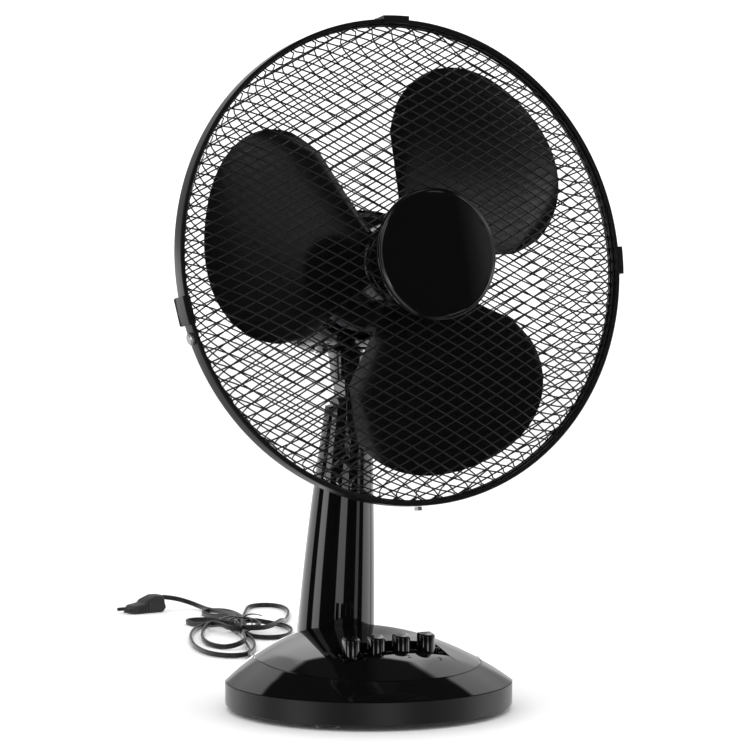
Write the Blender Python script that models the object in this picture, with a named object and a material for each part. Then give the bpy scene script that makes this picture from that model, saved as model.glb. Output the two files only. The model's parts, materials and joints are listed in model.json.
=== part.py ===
"""A 16-inch oscillating table fan: an oval column on a domed base with four speed keys, and a tilting,
swinging head with a three-blade impeller between two diagonal wire grilles.

Metres, +Z up. The origin is on the ground under the centre of the base, and the fan blows towards -Y.
The head is modelled in the frame of the empty head_axis: +Z is the blowing direction on its turned pieces.
"""

from math import atan2, cos, hypot, pi, radians, sin, sqrt

import bmesh
import bpy
from mathutils import Matrix, Vector

# Driving dimensions
GAP = 0.0004  # between pieces that seat on each other
RUN = 0.0005  # between a shaft or a pin and what turns on it

BASE_RADIUS = 0.130
TRAY_HEIGHT = 0.0255
DOME_RISE = 0.0435
DOME_APEX_Y = 0.045
DOME_CURVE = 2.3
SHELL_WALL = 0.0025
FOOT_HEIGHT = 0.0045
FOOT_RADIUS = 0.011
FOOT_INSET = 0.022  # from the rim in to the circle that the feet stand on
BALLAST_INSET = 0.025
BALLAST_HEIGHT = 0.004

COLUMN_WIDTH = 0.0375  # half the width at the foot
COLUMN_TOP_WIDTH = 0.0225  # half the width at the top
COLUMN_DEPTH_SHARE = 0.91
COLUMN_WALL = 0.0025
COLUMN_FOOT_Y = 0.0725

PIVOT_HEIGHT = 0.2674
PIVOT_Y = 0.0427
HEAD_TILT = radians(7.05)
AXIS_ABOVE_PIVOT = 0.121
RING_AHEAD = 0.131  # from the swing axis forward to the middle of the clamp ring
BOLT_RADIUS = 0.0034
TONGUE_HALF = 0.0080
CHEEK = 0.0055
NECK_RADIUS = 0.0120

RING_RADIUS = 0.214
RING_DEPTH = 0.0156
RING_WALL = 0.0022
RING_LIP = 0.0038
WIRE = 0.0024
WIRE_PITCH = 0.0466
SHOULDER = 0.006  # from a grille's rim wire in to where its dome starts
WIRE_SLOPE = radians(28)
FRONT_DEPTH = 0.054
REAR_DEPTH = 0.074
PLATE_RADIUS = 0.050  # the rear grille's middle plate
PLATE_THICK = 0.0034
PLATE_BORE = 0.022
CAP_RADIUS = 0.057
CAP_DEPTH = 0.0062

BLADE_RADIUS = 0.191
BLADE_SPAN = radians(84)
BLADE_PITCH = 0.011  # how far each edge lies ahead of or behind the blade's middle
BLADE_THICK = 0.0022
BLADES_AT = -0.010  # their middle, ahead of the middle of the clamp ring
HUB_RADIUS = 0.038
SHAFT_RADIUS = 0.0040
BEARING_RADIUS = 0.0083

MOTOR_RADIUS = 0.054
MOTOR_FRONT = -0.084
NOSE_RADIUS = 0.0192  # the motor's threaded nose, which passes through the rear grille's plate
STATOR_RADIUS = 0.047
STATOR_FRONT = MOTOR_FRONT - 0.0075
STATOR_LENGTH = 0.022
WINDING_LENGTH = 0.0042
BRACKET_FRONT = STATOR_FRONT - STATOR_LENGTH - 0.0050
BRACKET_RADIUS = 0.052
BRACKET_DROP = 0.044  # how far below the axis its lower edge lies, clear of the crank link
BRACKET_THICK = 0.0055
STUD_RADIUS = 0.0020
STUD_CIRCLE = STATOR_RADIUS + STUD_RADIUS + RUN
BEARING_LENGTH = 0.0065
WORM_HALF = 0.010
COVER_WALL = 0.0022
COVER_LENGTH = 0.1245
COVER_BOTTOM = 0.066
SWIVEL_RADIUS = 0.0060
NECK_DISC_RADIUS = 0.028
SPINDLE_X = 0.016
SPINDLE_RADIUS = 0.0035
WHEEL_RADIUS = 0.0106
CRANK_BACK = RING_AHEAD + SWIVEL_RADIUS + 0.018  # behind the middle of the clamp ring
SPINDLE_BACK = CRANK_BACK + 0.006
CRANK_THROW = 0.009
ARM_REACH = 0.024
KNOB_RADIUS = 0.009

BUTTON_PITCH = 0.0248
BUTTON_RADIUS = 0.0073
BUTTON_TOP = 0.0715
BUTTON_Y = -0.0430
BEZEL_SIZE = (0.104, 0.031)
BEZEL_FLOOR = 0.0460

CORD_THICK = 0.0032
CORD_EXIT_HEIGHT = 0.014
RELIEF_LENGTH = 0.026
HANK_ENDS = (Vector((0.030, 0.356)), Vector((0.158, 0.628)))
HANK_RADIUS = 0.052
HANK_HEIGHT = 0.0115
PLUG_AT = Vector((0.0475, 0.6890, 0.0))

BLACK = (0.012, 0.012, 0.013)
STEEL = (0.55, 0.55, 0.56)

SIDEWAYS = Matrix(((0, 0, 1, 0), (1, 0, 0, 0), (0, 1, 0, 0), (0, 0, 0, 1)))  # turns a prism's +Z to +X
FACING = (pi / 2, 0, 0)  # turns +Z of a turned piece to the blowing direction


# Helpers
def clear_scene():
    for obj in list(bpy.data.objects):
        bpy.data.objects.remove(obj, do_unlink=True)


def finish(name, colour, roughness, metallic=0.0):
    made = bpy.data.materials.new(name)
    made.use_nodes = True
    shader = made.node_tree.nodes["Principled BSDF"]
    shader.inputs["Base Color"].default_value = (*colour, 1)
    shader.inputs["Roughness"].default_value = roughness
    shader.inputs["Metallic"].default_value = metallic
    return made


def empty(name, location, parent=None, rotation=(0, 0, 0)):
    made = bpy.data.objects.new(name, None)
    made.location = location
    made.rotation_euler = rotation
    made.parent = parent
    bpy.context.scene.collection.objects.link(made)
    return made


def add(name, bm, look, parent=None, location=(0, 0, 0), rotation=(0, 0, 0), smooth=30):
    """Turns a bmesh into an object and places it."""
    bmesh.ops.recalc_face_normals(bm, faces=bm.faces)
    mesh = bpy.data.meshes.new(name)
    bm.to_mesh(mesh)
    bm.free()
    mesh.shade_smooth()
    mesh.set_sharp_from_angle(angle=radians(smooth))
    mesh.materials.append(look)
    made = bpy.data.objects.new(name, mesh)
    made.location = location
    made.rotation_euler = rotation
    made.parent = parent
    bpy.context.scene.collection.objects.link(made)
    return made


def turned(outline, steps, turn=2 * pi, start=0.0):
    """A bmesh of a closed outline of (radius, height) points turned round Z."""
    bm = bmesh.new()
    points = [bm.verts.new((r * cos(start), r * sin(start), z)) for r, z in outline]
    edges = [bm.edges.new((points[i - 1], points[i])) for i in range(len(points))]
    whole = turn > 2 * pi - 1e-6
    if not whole:
        bm.faces.new(points)
    made = bmesh.ops.spin(
        bm,
        geom=points + edges,
        cent=(0, 0, 0),
        axis=(0, 0, 1),
        angle=turn,
        steps=steps,
        use_merge=whole,
    )
    if not whole:
        last = [v for v in made["geom_last"] if isinstance(v, bmesh.types.BMVert)]
        bm.faces.new(last)
    bmesh.ops.remove_doubles(bm, verts=bm.verts, dist=1e-6)
    bmesh.ops.dissolve_degenerate(bm, edges=bm.edges, dist=1e-6)
    return bm


def rod(radius, low, high, steps=20):
    return turned([(0, low), (radius, low), (radius, high), (0, high)], steps)


def prism(outline, low, high, chamfer=0.0):
    """A bmesh of an outline of (x, y) points extruded from low to high."""
    bm = bmesh.new()
    face = bm.faces.new([bm.verts.new((x, y, low)) for x, y in outline])
    top = bmesh.ops.extrude_face_region(bm, geom=[face])["geom"]
    top_points = [v for v in top if isinstance(v, bmesh.types.BMVert)]
    bmesh.ops.translate(bm, vec=(0, 0, high - low), verts=top_points)
    if chamfer:
        bmesh.ops.bevel(bm, geom=bm.edges[:], offset=chamfer, segments=1, affect="EDGES")
    return bm


def block(size, centre, chamfer=0.0):
    half = [s / 2 for s in size]
    outline = [(-half[0], -half[1]), (half[0], -half[1]), (half[0], half[1]), (-half[0], half[1])]
    bm = prism(outline, -half[2], half[2], chamfer)
    bmesh.ops.translate(bm, vec=centre, verts=bm.verts)
    return bm


def lofted(rings, closed=False):
    """A bmesh through rings with equal numbers of points. A closed loft joins its last ring to its first."""
    bm = bmesh.new()
    rows = [[bm.verts.new(p) for p in ring] for ring in rings]
    count = len(rows[0])
    pairs = list(zip(rows, rows[1:], strict=False))
    if closed:
        pairs.append((rows[-1], rows[0]))
    for low, high in pairs:
        for i in range(count):
            j = (i + 1) % count
            bm.faces.new((low[i], low[j], high[j], high[i]))
    if not closed:
        bm.faces.new(rows[0])
        bm.faces.new(rows[-1])
    return bm


def circle(radius, count, start=0.0, turn=2 * pi):
    """(x, y) points round a circle, or along part of it with both ends."""
    ends = 0 if turn > 2 * pi - 1e-6 else 1
    return [
        (radius * cos(start + turn * i / (count - ends)), radius * sin(start + turn * i / (count - ends)))
        for i in range(count)
    ]


def combined(*meshes):
    """One bmesh that holds the shapes of several, as separate shells."""
    whole = meshes[0]
    for other in meshes[1:]:
        mesh = bpy.data.meshes.new("part")
        other.to_mesh(mesh)
        other.free()
        whole.from_mesh(mesh)
        bpy.data.meshes.remove(mesh)
    return whole


def helper(name, bm, parent=None, location=(0, 0, 0), rotation=(0, 0, 0)):
    made = add(name, bm, finish(name, BLACK, 0.5), parent, location, rotation)
    made.hide_render = True
    made.display_type = "WIRE"
    return made


def boolean(target, other, operation):
    modifier = target.modifiers.new(f"{operation.lower()} {other.name}", "BOOLEAN")
    modifier.operation = operation
    modifier.object = other
    modifier.solver = "EXACT"


def cut(target, other):
    boolean(target, other, "DIFFERENCE")


def join(target, other):
    boolean(target, other, "UNION")


# Base
def dome_point(angle, share, drop=0.0, inset=0.0):
    """A point on the dome: share is 0 at the apex and 1 at the rim."""
    rim = Vector((cos(angle), sin(angle))) * (BASE_RADIUS - inset)
    apex = Vector((0, DOME_APEX_Y))
    flat = apex + (rim - apex) * share
    return (*flat, TRAY_HEIGHT + GAP + DOME_RISE * (1 - share**DOME_CURVE) - drop)


def dome_height(x, y):
    """The height of the dome's outer surface over a point of the ground."""
    apex = Vector((0, DOME_APEX_Y))
    way = Vector((x, y)) - apex
    if way.length < 1e-9:
        return TRAY_HEIGHT + GAP + DOME_RISE
    unit = way.normalized()
    along = apex.dot(unit)
    reach = sqrt(along**2 - apex.length_squared + BASE_RADIUS**2) - along
    return TRAY_HEIGHT + GAP + DOME_RISE * (1 - (way.length / reach) ** DOME_CURVE)


def column_section(height):
    """(half width, half depth, centre y) of the column's outside at a height."""
    share = (height - TRAY_HEIGHT) / (PIVOT_HEIGHT - TRAY_HEIGHT)
    share = max(share, 0)
    width = COLUMN_WIDTH + (COLUMN_TOP_WIDTH - COLUMN_WIDTH) * share**1.5
    centre = COLUMN_FOOT_Y + (PIVOT_Y - COLUMN_FOOT_Y) * share**1.25
    return width, width * COLUMN_DEPTH_SHARE, centre


def column_ring(height, inset=0.0, count=28):
    width, depth, centre = column_section(height)
    return [(x * (width - inset), centre + y * (depth - inset), height) for x, y in circle(1, count)]


def make_base_cover(look):
    shares = [0.12, 0.30, 0.48, 0.64, 0.78, 0.89, 0.96, 1.0]
    angles = [2 * pi * i / 40 for i in range(40)]
    outer = [[dome_point(a, s) for a in angles] for s in shares]
    lip = [[(x, y, z) for x, y, z in (dome_point(a, 1.0, inset=SHELL_WALL) for a in angles)]]
    inner = [[dome_point(a, s, drop=SHELL_WALL, inset=SHELL_WALL) for a in angles] for s in shares[-2::-1]]
    return add("base_cover", lofted(outer + lip + inner), look)


def make_base(looks):
    gloss = looks["gloss"]
    cover = make_base_cover(gloss)
    opening = block(
        (BEZEL_SIZE[0] + 2 * GAP, BEZEL_SIZE[1] + 2 * GAP, 0.06), (0, BUTTON_Y, TRAY_HEIGHT + 0.045)
    )
    cut(cover, helper("cutter_bezel", opening))
    foot_hole = lofted([column_ring(z, inset=-GAP) for z in (0.030, 0.050, 0.070, 0.090)])
    cut(cover, helper("cutter_column", foot_hole))

    floor, wall = FOOT_HEIGHT + SHELL_WALL, BASE_RADIUS - SHELL_WALL
    outline = [
        (0, FOOT_HEIGHT),
        (BASE_RADIUS, FOOT_HEIGHT),
        (BASE_RADIUS, TRAY_HEIGHT),
        (wall, TRAY_HEIGHT),
        (wall, floor),
        (0, floor),
    ]
    tray = add("base_tray", turned(outline, 56), looks["satin"])
    relief_hole = rod(0.0047, -0.02, 0.02, 16)
    cut(
        tray,
        helper("cutter_relief", relief_hole, None, (0, BASE_RADIUS, CORD_EXIT_HEIGHT), (pi / 2, 0, 0)),
    )

    ballast_low = floor + GAP
    ballast_radius = BASE_RADIUS - BALLAST_INSET
    ballast = [
        (0, ballast_low),
        (ballast_radius, ballast_low),
        (ballast_radius, ballast_low + BALLAST_HEIGHT),
        (0, ballast_low + BALLAST_HEIGHT),
    ]
    add("ballast_plate", turned(ballast, 40), looks["zinc"])
    foot_top = FOOT_HEIGHT - GAP
    foot = [(0, 0), (FOOT_RADIUS * 0.9, 0), (FOOT_RADIUS, 0.001), (FOOT_RADIUS, foot_top), (0, foot_top)]
    foot_circle = BASE_RADIUS - FOOT_INSET
    for i in range(4):
        angle = pi / 4 + i * pi / 2
        place = (foot_circle * cos(angle), foot_circle * sin(angle), 0)
        add(f"foot_{i + 1}", turned(foot, 16), looks["rubber"], None, place)
    return floor + GAP + BALLAST_HEIGHT + GAP


def button_x(i):
    return (i - 1.5) * BUTTON_PITCH


def make_bezel(look):
    """A tray in the dome's opening, level inside, whose rim follows the dome, with a slot for each key."""
    half_x, half_y, sunk = BEZEL_SIZE[0] / 2, BEZEL_SIZE[1] / 2, 0.0015
    across, depth = 14, 4
    rings = []
    for i in range(across + 1):
        x = half_x * (2 * i / across - 1)
        rows = [BUTTON_Y - half_y + BEZEL_SIZE[1] * j / depth for j in range(depth + 1)]
        top = [(x, y, dome_height(x, y) - sunk) for y in rows]
        rings.append([(x, rows[-1], BEZEL_FLOOR - 0.0025), (x, rows[0], BEZEL_FLOOR - 0.0025), *top])
    made = add("button_bezel", lofted(rings), look)
    wall = 0.0015
    inside = block(
        (BEZEL_SIZE[0] - 2 * wall, BEZEL_SIZE[1] - 2 * wall, 0.03), (0, BUTTON_Y, BEZEL_FLOOR + 0.015)
    )
    cut(made, helper("cutter_bezel_inside", inside))
    side = BUTTON_RADIUS + RUN
    slots = [
        block((2 * side, 2 * side, 0.02), (button_x(i), BUTTON_Y, BEZEL_FLOOR - 0.004)) for i in range(4)
    ]
    cut(made, helper("cutter_bezel_slots", combined(*slots)))


def make_buttons(look, switch_top):
    """Upright keys with a half-round front and a top that slopes to the front, each with a stem below."""
    low = BEZEL_FLOOR - 0.010
    for i in range(4):
        front = circle(BUTTON_RADIUS, 9, pi, pi)
        back = [(BUTTON_RADIUS, BUTTON_RADIUS), (-BUTTON_RADIUS, BUTTON_RADIUS)]
        outline = front + back
        height = BUTTON_TOP - low
        bm = prism(outline, 0, height)
        for v in bm.verts:
            if v.co.z > height / 2:
                v.co.z += 0.30 * v.co.y - 0.30 * BUTTON_RADIUS
        stem = block((0.006, 0.008, low - switch_top - GAP + 0.002), (0, 0, 0))
        bmesh.ops.translate(stem, vec=(0, 0, -(low - switch_top - GAP) / 2 + 0.001), verts=stem.verts)
        key = add(f"button_{i}", bm, look, None, (button_x(i), BUTTON_Y, low))
        join(key, helper(f"stem_{i}", stem, None, (button_x(i), BUTTON_Y, low)))


def make_inside_base(looks, floor):
    """The key switch and the motor's capacitor, on the base's floor."""
    switch_top = 0.0270
    body = block((0.100, 0.024, switch_top - floor), (0, BUTTON_Y, (switch_top + floor) / 2), 0.0008)
    add("switch_body", body, looks["switch"])
    capacitor = block((0.038, 0.018, 0.026), (-0.070, 0.018, floor + 0.013), 0.0010)
    add("capacitor", capacitor, looks["switch"])
    return switch_top + 0.0045


def make_column(looks, floor):
    heights = [floor, TRAY_HEIGHT, 0.060, 0.100, 0.140, 0.185, *fork_levels(), PIVOT_HEIGHT + 0.0046]
    outer = [column_ring(z) for z in heights]
    inner = [column_ring(z, COLUMN_WALL) for z in reversed(heights)]
    add("column", lofted(outer + inner, closed=True), looks["gloss"])
    for i, side in enumerate((-1, 1)):
        bolt = [(0, 0), (0.0045, 0), (0.0045, 0.003), (0.0022, 0.003), (0.0022, 0.011), (0, 0.011)]
        x = side * (COLUMN_WIDTH - 0.016)
        add(f"column_bolt_{i + 1}", turned(bolt, 12), looks["zinc"], None, (x, COLUMN_FOOT_Y, floor))


def fork_levels():
    """Heights that the column's sections and the fork's plug share, so that their walls run alongside."""
    top = PIVOT_HEIGHT - NECK_RADIUS - 0.002
    return [top - 0.022, top - 0.011, top]


def make_fork(looks):
    """The piece in the column's top whose two cheeks hold the neck."""
    inner_face = TONGUE_HALF + GAP
    outer_face = inner_face + CHEEK
    plug = lofted([column_ring(z, COLUMN_WALL + 2 * GAP) for z in fork_levels()])
    fork = add("neck_fork", plug, looks["satin"])
    cheeks = []
    for side in (-1, 1):
        top = circle(NECK_RADIUS, 11, 0, pi)
        foot = fork_levels()[-1] - 0.002 - PIVOT_HEIGHT
        outline = [*top, (-NECK_RADIUS, foot), (NECK_RADIUS, foot)]
        cheek = prism(outline, 0, CHEEK)
        left = inner_face if side > 0 else -outer_face
        place = Matrix.Translation((left, PIVOT_Y, PIVOT_HEIGHT)) @ SIDEWAYS
        bmesh.ops.transform(cheek, matrix=place, verts=cheek.verts)
        cheeks.append(cheek)
    cheeks = helper("fork_cheeks", combined(*cheeks))
    inside = [column_ring(z, COLUMN_WALL + 2 * GAP) for z in (*fork_levels(), PIVOT_HEIGHT + 0.006)]
    inside.append([(x, y, z + NECK_RADIUS) for x, y, z in inside[-1]])
    boolean(cheeks, helper("fork_room", lofted(inside)), "INTERSECT")
    join(fork, cheeks)
    hole = rod(BOLT_RADIUS + GAP, -0.03, 0.03, 16)
    cut(fork, helper("cutter_bolt_in_fork", hole, None, (0, PIVOT_Y, PIVOT_HEIGHT), (0, pi / 2, 0)))
    return outer_face


def make_tilt_bolt(looks, outer_face):
    head, nut = 0.0030, 0.0032
    reach = outer_face + GAP
    bolt = [
        (0, -reach - head),
        (0.0058, -reach - head),
        (0.0058, -reach),
        (BOLT_RADIUS, -reach),
        (BOLT_RADIUS, reach + nut),
        (0, reach + nut),
    ]
    pivot = (0, PIVOT_Y, PIVOT_HEIGHT)
    add("tilt_bolt", turned(bolt, 16), looks["zinc"], None, pivot, (0, pi / 2, 0))
    bore = (BOLT_RADIUS + GAP) / cos(pi / 6)
    ring = [(bore, reach), (0.0062, reach), (0.0062, reach + nut), (bore, reach + nut)]
    add("tilt_nut", turned(ring, 6), looks["zinc"], None, pivot, (0, pi / 2, 0))


# Neck
def make_neck(looks, tilt_axis, disc_low, disc_high):
    """The casting between the tilt bolt and the swinging head, with the swivel pin and the link's pin."""
    round_end = circle(NECK_RADIUS, 11, pi, pi)
    outline = [*round_end, (NECK_RADIUS, 0.032), (-NECK_RADIUS, 0.032)]
    tongue = prism(outline, -TONGUE_HALF, TONGUE_HALF)
    bmesh.ops.transform(tongue, matrix=SIDEWAYS, verts=tongue.verts)
    neck = add("tilt_neck", tongue, looks["satin"], tilt_axis)
    body = block((0.028, 0.030, disc_low - 0.026), (0, 0, (disc_low + 0.028) / 2), 0.003)
    join(neck, helper("neck_body", body, tilt_axis))
    disc = rod(NECK_DISC_RADIUS, disc_low, disc_high, 32)
    join(neck, helper("neck_disc", disc, tilt_axis))
    pins = combined(
        rod(SWIVEL_RADIUS, disc_high - 0.001, AXIS_ABOVE_PIVOT - 0.0195, 20), rod(0.0025, -0.001, 0.0112, 12)
    )
    arm = [v for v in pins.verts if hypot(v.co.x, v.co.y) < 0.0026 and v.co.z < 0.02]
    bmesh.ops.translate(pins, vec=(ARM_REACH, 0, disc_high), verts=arm)
    join(neck, helper("neck_pins", pins, tilt_axis))
    hole = rod(BOLT_RADIUS + GAP, -0.03, 0.03, 16)
    cut(neck, helper("cutter_bolt_in_neck", hole, tilt_axis, (0, 0, 0), (0, pi / 2, 0)))


# Head
def front_dome(radius):
    """How far ahead of the clamp ring's middle the front grille's wires lie at a radius."""
    shoulder = grille_rim() - SHOULDER
    return 0.0029 + FRONT_DEPTH * sqrt(max(0, 1 - (radius / shoulder) ** 2))


def rear_dome(radius):
    shoulder = grille_rim() - SHOULDER
    return -0.0029 - REAR_DEPTH * max(0, 1 - (radius / shoulder) ** 2.8) ** (1 / 2.2)


def grille_rim():
    return RING_RADIUS - RING_WALL - GAP - WIRE * 0.75


def wire_dome(height_at):
    """Cells of a disc between two crossing families of straight lines, lifted to a dome."""
    rim = grille_rim()
    bm = bmesh.new()
    bm.faces.new([bm.verts.new((x, y, 0)) for x, y in circle(rim, 48)])
    lines = int(rim / WIRE_PITCH - 0.5)
    for slope in (WIRE_SLOPE, -WIRE_SLOPE):
        normal = Vector((-sin(slope), cos(slope), 0))
        for k in range(-lines - 1, lines + 1):
            bmesh.ops.bisect_plane(
                bm,
                geom=bm.verts[:] + bm.edges[:] + bm.faces[:],
                dist=1e-6,
                plane_co=normal * (k + 0.5) * WIRE_PITCH,
                plane_no=normal,
            )
    for v in bm.verts:
        v.co.z = height_at(hypot(v.co.x, v.co.y))
    return bm


def make_grille(name, height_at, looks, head_axis):
    made = add(name, wire_dome(height_at), looks["wire"], head_axis, (0, 0, 0), FACING)
    wires = made.modifiers.new("wires", "WIREFRAME")
    wires.thickness = WIRE
    wires.use_even_offset = False
    wires.use_boundary = True
    return made


def make_grilles(looks, head_axis):
    make_grille("front_grille", front_dome, looks, head_axis)
    rear = make_grille("rear_grille", rear_dome, looks, head_axis)
    middle = rear_dome(0)
    low, high = middle - PLATE_THICK / 2, middle + PLATE_THICK / 2
    plate = [(0.010, low), (PLATE_RADIUS, low), (PLATE_RADIUS, high), (0.010, high)]
    join(rear, helper("rear_grille_plate", turned(plate, 32), head_axis, (0, 0, 0), FACING))
    hole = rod(PLATE_BORE, middle - 0.01, middle + 0.01, 28)
    cut(rear, helper("cutter_rear_grille", hole, head_axis, (0, 0, 0), FACING))

    cap_low = front_dome(0) + WIRE / 2 + GAP + 0.0004
    cap = [
        (0, cap_low),
        (CAP_RADIUS, cap_low),
        (CAP_RADIUS, cap_low + CAP_DEPTH * 0.75),
        (CAP_RADIUS - 0.002, cap_low + CAP_DEPTH * 0.93),
        (CAP_RADIUS * 0.5, cap_low + CAP_DEPTH),
        (0, cap_low + CAP_DEPTH),
    ]
    add("grille_cap", turned(cap, 44), looks["gloss"], head_axis, (0, 0, 0), FACING)

    half, wall = RING_DEPTH / 2, RING_RADIUS - RING_WALL
    ring = [
        (RING_RADIUS - RING_LIP, -half),
        (RING_RADIUS, -half),
        (RING_RADIUS, half),
        (RING_RADIUS - RING_LIP, half),
        (RING_RADIUS - RING_LIP, half - RING_WALL),
        (wall, half - RING_WALL),
        (wall, RING_WALL - half),
        (RING_RADIUS - RING_LIP, RING_WALL - half),
    ]
    add("clamp_ring", turned(ring, 56), looks["gloss"], head_axis, (0, 0, 0), FACING)

    nut_low = high + GAP
    nut_bore = NOSE_RADIUS + 2 * GAP
    nut = [(nut_bore, nut_low), (0.032, nut_low), (0.030, nut_low + 0.008), (nut_bore, nut_low + 0.008)]
    add("grille_nut", turned(nut, 24), looks["satin"], head_axis, (0, 0, 0), FACING)


def make_clips(looks, head_axis):
    """Three spring clips over the clamp ring, each with its origin on its hinge line, and two fasteners."""
    half = RING_DEPTH / 2
    inner, outer = RING_RADIUS + GAP, RING_RADIUS + 0.0028
    hinge_radius, hinge_back = (inner + outer) / 2, -half - 0.0012
    places = {"clip_top": pi / 2, "clip_side": 0.0, "clip_left": pi + radians(11)}
    for name, angle in places.items():
        outline = [
            (inner, -half - 0.0020),
            (outer, -half - 0.0020),
            (outer, half + 0.0024),
            (RING_RADIUS - 0.0040, half + 0.0024),
            (RING_RADIUS - 0.0040, half + GAP),
            (inner, half + GAP),
        ]
        width = radians(6.6)
        bm = turned(outline, 5, width, angle - width / 2)
        hinge = Vector((hinge_radius * cos(angle), hinge_radius * sin(angle), hinge_back))
        bmesh.ops.translate(bm, vec=-hinge, verts=bm.verts)
        turn = Matrix.Rotation(pi / 2, 3, "X")
        add(name, bm, looks["zinc" if name == "clip_left" else "gloss"], head_axis, turn @ hinge, FACING)
    catch = turned([(0, 0), (0.0055, 0), (0.0055, 0.002), (0.004, 0.0032), (0, 0.0032)], 16)
    angle = pi + radians(17.5)
    place = Vector((cos(angle), 0, sin(angle))) * (RING_RADIUS + GAP)
    add("side_catch", catch, looks["zinc"], head_axis, place, (0, -angle + pi / 2, 0))
    screw = turned([(0, 0), (0.0038, 0), (0.0038, 0.0034), (0, 0.0034)], 6)
    angle = -pi / 2
    place = Vector((cos(angle), 0, sin(angle))) * (RING_RADIUS + GAP)
    add("ring_screw", screw, looks["zinc"], head_axis, place, (0, -angle + pi / 2, 0))


def blade_point(root, across, along):
    """across is -1 at one edge of the blade and 1 at the other; along is 0 at the hub and 1 at the tip."""
    reach = 1 - abs(across) ** 3 * 0.22 - max(0, across) ** 3 * 0.03
    narrow = 1 - 0.10 * (1 - along) ** 2
    angle = root + across * BLADE_SPAN / 2 * narrow * (1 - 0.10 * max(0, along - 0.75) * 4 * abs(across))
    start = HUB_RADIUS - 0.003
    radius = start + (BLADE_RADIUS * reach - start) * along
    lift = BLADE_PITCH * across * (0.55 + 0.45 * along) + 0.009 * (1 - across**2) * along
    return radius * cos(angle), radius * sin(angle), BLADES_AT + lift


def blade(root):
    """One broad petal as a thin closed sheet."""
    columns, rows = 9, 7
    top, low = [], []
    for j in range(rows):
        for i in range(columns):
            x, y, z = blade_point(root, 2 * i / (columns - 1) - 1, (j / (rows - 1)) ** 0.8)
            top.append((x, y, z + BLADE_THICK / 2))
            low.append((x, y, z - BLADE_THICK / 2))
    bm = bmesh.new()
    top = [bm.verts.new(p) for p in top]
    low = [bm.verts.new(p) for p in low]
    for j in range(rows - 1):
        for i in range(columns - 1):
            a, b = j * columns + i, (j + 1) * columns + i
            bm.faces.new((top[a], top[a + 1], top[b + 1], top[b]))
            bm.faces.new((low[a], low[b], low[b + 1], low[a + 1]))
    edge = list(range(columns))
    edge += [(j + 1) * columns - 1 for j in range(1, rows)]
    edge += [(rows - 1) * columns + i for i in range(columns - 2, -1, -1)]
    edge += [j * columns for j in range(rows - 2, 0, -1)]
    for a, b in zip(edge, edge[1:] + edge[:1], strict=True):
        bm.faces.new((top[a], low[a], low[b], top[b]))
    return bm


def make_impeller(looks, spin_axis):
    front, rear, wall = BLADES_AT + 0.010, BLADES_AT - 0.030, 0.0025
    bore = SHAFT_RADIUS + GAP
    hub = [
        (bore, front - 0.030),
        (0.009, front - 0.030),
        (0.009, front - wall),
        (HUB_RADIUS - wall, front - wall),
        (HUB_RADIUS - wall, rear),
        (HUB_RADIUS, rear),
        (HUB_RADIUS, front - 0.004),
        (HUB_RADIUS - 0.004, front),
        (bore, front),
    ]
    impeller = add("impeller", turned(hub, 36), looks["blade"], spin_axis, (0, 0, 0), FACING)
    roots = [radians(169), radians(49), radians(-71)]
    for i, root in enumerate(roots):
        join(impeller, helper(f"blade_{i + 1}", blade(root), spin_axis, (0, 0, 0), FACING))

    end = front + 0.0055
    nut = [
        (0, end + 0.008),
        (0.010, end + 0.006),
        (0.0145, front + GAP + 0.002),
        (0.0145, front + GAP),
        (bore, front + GAP),
        (bore, end),
        (0, end),
    ]
    add("spinner_nut", turned(nut, 20), looks["satin"], spin_axis, (0, 0, 0), FACING)
    worm_front, worm_rear = WORM_HALF - SPINDLE_BACK + 0.001, -WORM_HALF - SPINDLE_BACK + 0.001
    tail = worm_rear - 0.0025
    worm = SPINDLE_X - WHEEL_RADIUS - GAP
    shaft = [
        (0, tail),
        (SHAFT_RADIUS, tail),
        (SHAFT_RADIUS, worm_rear),
        (worm, worm_rear),
        (worm, worm_front),
        (SHAFT_RADIUS, worm_front),
        (SHAFT_RADIUS, end - GAP),
        (0, end - GAP),
    ]
    add("motor_shaft", turned(shaft, 20), looks["steel"], spin_axis, (0, 0, 0), FACING)
    rotor_rear, rotor_front = STATOR_FRONT - STATOR_LENGTH - 0.0015, STATOR_FRONT + 0.0025
    rotor = [(bore, rotor_rear), (0.027, rotor_rear), (0.027, rotor_front), (bore, rotor_front)]
    add("rotor_core", turned(rotor, 28), looks["steel"], spin_axis, (0, 0, 0), FACING)


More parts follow.
